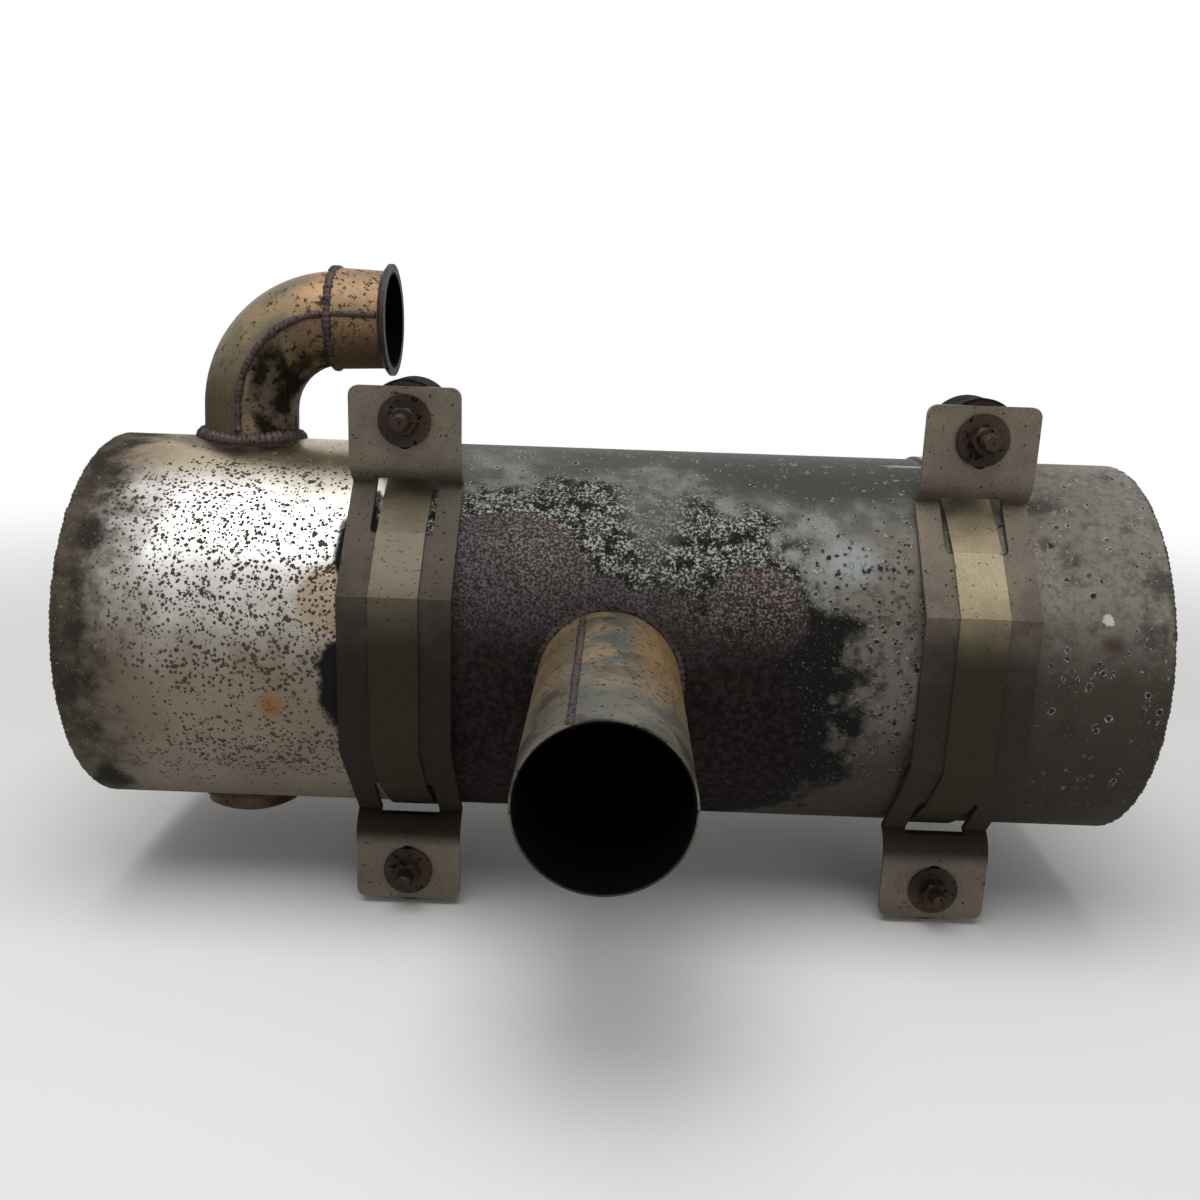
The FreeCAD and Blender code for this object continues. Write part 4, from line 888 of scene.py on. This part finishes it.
class MUFFLER_OT_inlet(bpy.types.Operator):
    """Finishes the elbow, its collar and the flange"""

    bl_idname = "muffler.inlet"
    bl_label = "Inlet"

    def execute(self, context):
        outer = worn_steel(
            "elbow_steel", (0.15, 0.122, 0.074), (0.062, 0.04, 0.022), (0.23, 0.175, 0.1),
            speck=0.0036, metallic=0.5, roughness=0.45, spots=0.6, stain=(0.115, 0.1, 0.068),
            tint=(near_collar, (0.34, 0.2, 0.1)), shade=(below(0.16, 0.12), 0.42),
        )
        inner = worn_steel(
            "elbow_inner_steel", (0.085, 0.066, 0.042), (0.02, 0.014, 0.009), (0.16, 0.11, 0.06),
            speck=0.0032, metallic=0.35, spots=0.6, tint=(near_collar, (0.2, 0.12, 0.06)), soot=below_bend,
        )
        collar = worn_steel(
            "collar_steel", (0.21, 0.14, 0.08), (0.07, 0.036, 0.017), (0.3, 0.19, 0.1),
            speck=0.0024, metallic=0.45, spots=0.57, shade=(below(0.175, 0.145), 0.3), soot=inside_inlet,
        )
        flange = worn_steel(
            "flange_steel", (0.018, 0.014, 0.012), (0.006, 0.004, 0.0035), (0.035, 0.026, 0.021),
            metallic=0.3, soot=inside_inlet,
        )
        dress(outer, "elbow_outer_half")
        dress(inner, "elbow_inner_half")
        dress(collar, "inlet_collar")
        dress(flange, "inlet_flange")
        return {"FINISHED"}


class MUFFLER_OT_outlet(bpy.types.Operator):
    """Finishes the outlet tube"""

    bl_idname = "muffler.outlet"
    bl_label = "Outlet"

    def execute(self, context):
        tube = worn_steel(
            "outlet_steel", (0.1, 0.098, 0.078), (0.03, 0.028, 0.023), (0.17, 0.155, 0.115),
            speck=0.0028, metallic=0.55, roughness=0.42, spots=0.6, stain=(0.045, 0.043, 0.034),
            tint=(near_can, (0.33, 0.21, 0.09)), shade=(below(0.0, -0.025), 0.35), soot=inside_outlet,
        )
        dress(tube, "outlet_tube")
        return {"FINISHED"}


class MUFFLER_OT_hangers(bpy.types.Operator):
    """Finishes the saddles and straps"""

    bl_idname = "muffler.hangers"
    bl_label = "Hangers"

    def execute(self, context):
        tone = context.scene.muffler.finishes
        # The left hanger is a shaded copy of the right one: the first number darkens its strap and its
        # bracket's painted shade and dulls the strap's metal, and the second says how much of the upper
        # rails lies in painted shade.
        for side, tint, high in (("left", 0.42, 0.55), ("right", 0.95, 0.15)):
            bracket = worn_steel(
                f"bracket_{side}_steel", tone.bracket, (0.035, 0.025, 0.019), (0.16, 0.135, 0.098),
                speck=0.0025, metallic=0.45, roughness=0.42, spots=0.63,
                shade=(on_rails(high), 0.06 + 0.12 * tint),
            )
            dress(bracket, f"saddle_{side}")
            plain = [tint * value for value in tone.strap]
            strap = worn_steel(
                f"strap_{side}_steel", plain, (0.05, 0.042, 0.028), [1.3 * value for value in plain],
                speck=0.002, metallic=0.6 * tint, roughness=0.4, spots=0.64,
                shade=(below(0.056, 0.012), 0.085 / tint),
            )
            dress(strap, f"strap_{side}")
        return {"FINISHED"}


class MUFFLER_OT_isolators(bpy.types.Operator):
    """Finishes the isolators and all studs, washers, nuts and bolts"""

    bl_idname = "muffler.isolators"
    bl_label = "Isolators"

    def execute(self, context):
        tone = context.scene.muffler.finishes
        rusted = rusted_steel("rusted_fastener", tone, 0.003)
        dress(rusted, *named("stud_", "isolator_front", "isolator_rear", "strap_bolt", "strap_nut"))
        rubber = worn_steel(
            "perished_rubber", tone.rubber, (0.004, 0.004, 0.004), (0.02, 0.018, 0.016),
            speck=0.002, metallic=0.0, roughness=0.8, spots=0.6, specular=0.1,
        )
        dress(rubber, *named("isolator_rubber"))
        return {"FINISHED"}


def put_in_scene(name, data):
    """A new object in the scene."""
    item = bpy.data.objects.new(name, data)
    bpy.context.scene.collection.objects.link(item)
    return item


def wire(tree, *pairs):
    """Joins each output to its input."""
    for output, socket in pairs:
        tree.links.new(output, socket)


def floor_paint():
    """Pale floor that fades to the white background away from the object."""
    material = bpy.data.materials.new("floor_paint")
    material.use_nodes = True
    tree = material.node_tree
    paint = tree.nodes["Principled BSDF"]
    paint.inputs["Base Color"].default_value = FLOOR_COLOUR
    paint.inputs["Roughness"].default_value = 0.9
    paint.inputs["Specular IOR Level"].default_value = 0.1
    glow = tree.nodes.new("ShaderNodeEmission")
    glow.inputs[0].default_value = WHITE
    place = tree.nodes.new("ShaderNodeTexCoord")
    reach = tree.nodes.new("ShaderNodeVectorMath")
    reach.operation = "LENGTH"
    fade = tree.nodes.new("ShaderNodeMapRange")
    fade.interpolation_type = "SMOOTHSTEP"
    fade.inputs["From Min"].default_value, fade.inputs["From Max"].default_value = FLOOR_FADE
    seen = tree.nodes.new("ShaderNodeLightPath")
    both = tree.nodes.new("ShaderNodeMath")
    both.operation = "MULTIPLY"
    mixed = tree.nodes.new("ShaderNodeMixShader")
    wire(
        tree,
        (place.outputs["Object"], reach.inputs[0]),
        (reach.outputs["Value"], fade.inputs[0]),
        (fade.outputs[0], both.inputs[0]),
        (seen.outputs["Is Camera Ray"], both.inputs[1]),
        (both.outputs[0], mixed.inputs[0]),
        (paint.outputs[0], mixed.inputs[1]),
        (glow.outputs[0], mixed.inputs[2]),
        (mixed.outputs[0], tree.nodes["Material Output"].inputs[0]),
    )
    return material


def add_floor():
    mesh = bpy.data.meshes.new("floor")
    shape = bmesh.new()
    bmesh.ops.create_circle(shape, cap_ends=True, radius=FLOOR_RADIUS, segments=FLOOR_SIDES)
    bmesh.ops.translate(shape, verts=shape.verts, vec=(0, 0, CAD_BOX[0][2] - FLOOR_GAP))
    shape.to_mesh(mesh)
    shape.free()
    floor = put_in_scene("floor", mesh)
    mesh.materials.append(floor_paint())


def add_lamp(name, strength, size, place, aim):
    lamp = bpy.data.lights.new(name, "AREA")
    lamp.energy = strength
    lamp.size = size
    holder = put_in_scene(name, lamp)
    holder.location = place
    holder.rotation_euler = (Vector(aim) - Vector(place)).to_track_quat("-Z", "Y").to_euler()


def add_daylight(scene, strength):
    """Even light all round, which shows as plain white behind the object and in what it mirrors."""
    world = bpy.data.worlds.new("daylight")
    scene.world = world
    world.use_nodes = True
    tree = world.node_tree
    dim = tree.nodes["Background"]
    dim.inputs[0].default_value = WHITE
    dim.inputs[1].default_value = strength
    white = tree.nodes.new("ShaderNodeBackground")
    white.inputs[0].default_value = WHITE
    seen = tree.nodes.new("ShaderNodeLightPath")
    first = tree.nodes.new("ShaderNodeMath")
    second = tree.nodes.new("ShaderNodeMath")
    first.operation = second.operation = "MAXIMUM"
    mixed = tree.nodes.new("ShaderNodeMixShader")
    wire(
        tree,
        (seen.outputs["Is Camera Ray"], first.inputs[0]),
        (seen.outputs["Is Glossy Ray"], first.inputs[1]),
        (first.outputs[0], second.inputs[0]),
        (seen.outputs["Is Transmission Ray"], second.inputs[1]),
        (second.outputs[0], mixed.inputs[0]),
        (dim.outputs[0], mixed.inputs[1]),
        (white.outputs[0], mixed.inputs[2]),
        (mixed.outputs[0], tree.nodes["World Output"].inputs[0]),
    )


def add_camera(scene, stage):
    lens = bpy.data.cameras.new("camera")
    lens.sensor_width = lens.sensor_height = CAMERA_SENSOR
    lens.lens = stage.lens
    lens.clip_start = CAMERA_CLIP
    pitch, heading, roll = stage.pitch, stage.heading, stage.roll
    level = math.cos(pitch)
    ahead = Vector((math.sin(heading) * level, math.cos(heading) * level, -math.sin(pitch)))
    right = Vector((math.cos(heading), -math.sin(heading), 0))
    up = right.cross(ahead)
    across = right * math.cos(roll) + up * math.sin(roll)
    above = up * math.cos(roll) - right * math.sin(roll)
    camera = put_in_scene("camera", lens)
    turn = Matrix((across, above, -ahead)).transposed().to_4x4()
    camera.matrix_world = Matrix.Translation(CAMERA_PLACE) @ turn
    scene.camera = camera


class MUFFLER_OT_stage(bpy.types.Operator):
    """Adds the floor, the lamps, the daylight and the camera"""

    bl_idname = "muffler.stage"
    bl_label = "Stage"

    def execute(self, context):
        scene = context.scene
        stage = scene.muffler.stage
        add_floor()
        add_lamp("key", stage.key, KEY_SIZE, KEY_PLACE, KEY_AIM)
        add_lamp("fill", stage.fill, FILL_SIZE, FILL_PLACE, FILL_AIM)
        add_daylight(scene, stage.daylight)
        add_camera(scene, stage)
        scene.view_settings.view_transform = "Standard"
        return {"FINISHED"}


class MUFFLER_PT_panel(bpy.types.Panel):
    bl_idname = "MUFFLER_PT_panel"
    bl_label = "Muffler"
    bl_space_type = "VIEW_3D"
    bl_region_type = "UI"
    bl_category = "Muffler"

    def draw(self, context):
        settings = context.scene.muffler
        for group in (settings.finishes, settings.stage):
            box = self.layout.box()
            for name in group.bl_rna.properties.keys():
                if name not in ("rna_type", "name"):
                    box.prop(group, name)
        for operator in OPERATORS:
            self.layout.operator(operator.bl_idname)


OPERATORS = (
    MUFFLER_OT_can,
    MUFFLER_OT_welds,
    MUFFLER_OT_inside,
    MUFFLER_OT_inlet,
    MUFFLER_OT_outlet,
    MUFFLER_OT_hangers,
    MUFFLER_OT_isolators,
    MUFFLER_OT_threads,
    MUFFLER_OT_stage,
)
CLASSES = (MufflerFinishes, MufflerStage, MufflerSettings, *OPERATORS, MUFFLER_PT_panel)


def register():
    for item in CLASSES:
        bpy.utils.register_class(item)
    bpy.types.Scene.muffler = PointerProperty(type=MufflerSettings)


def unregister():
    del bpy.types.Scene.muffler
    for item in reversed(CLASSES):
        bpy.utils.unregister_class(item)


def main():
    register()
    bpy.ops.muffler.can()
    bpy.ops.muffler.welds()
    bpy.ops.muffler.inside()
    bpy.ops.muffler.inlet()
    bpy.ops.muffler.outlet()
    bpy.ops.muffler.hangers()
    bpy.ops.muffler.isolators()
    bpy.ops.muffler.threads()
    bpy.ops.muffler.stage()


if __name__ == "__main__":
    main()
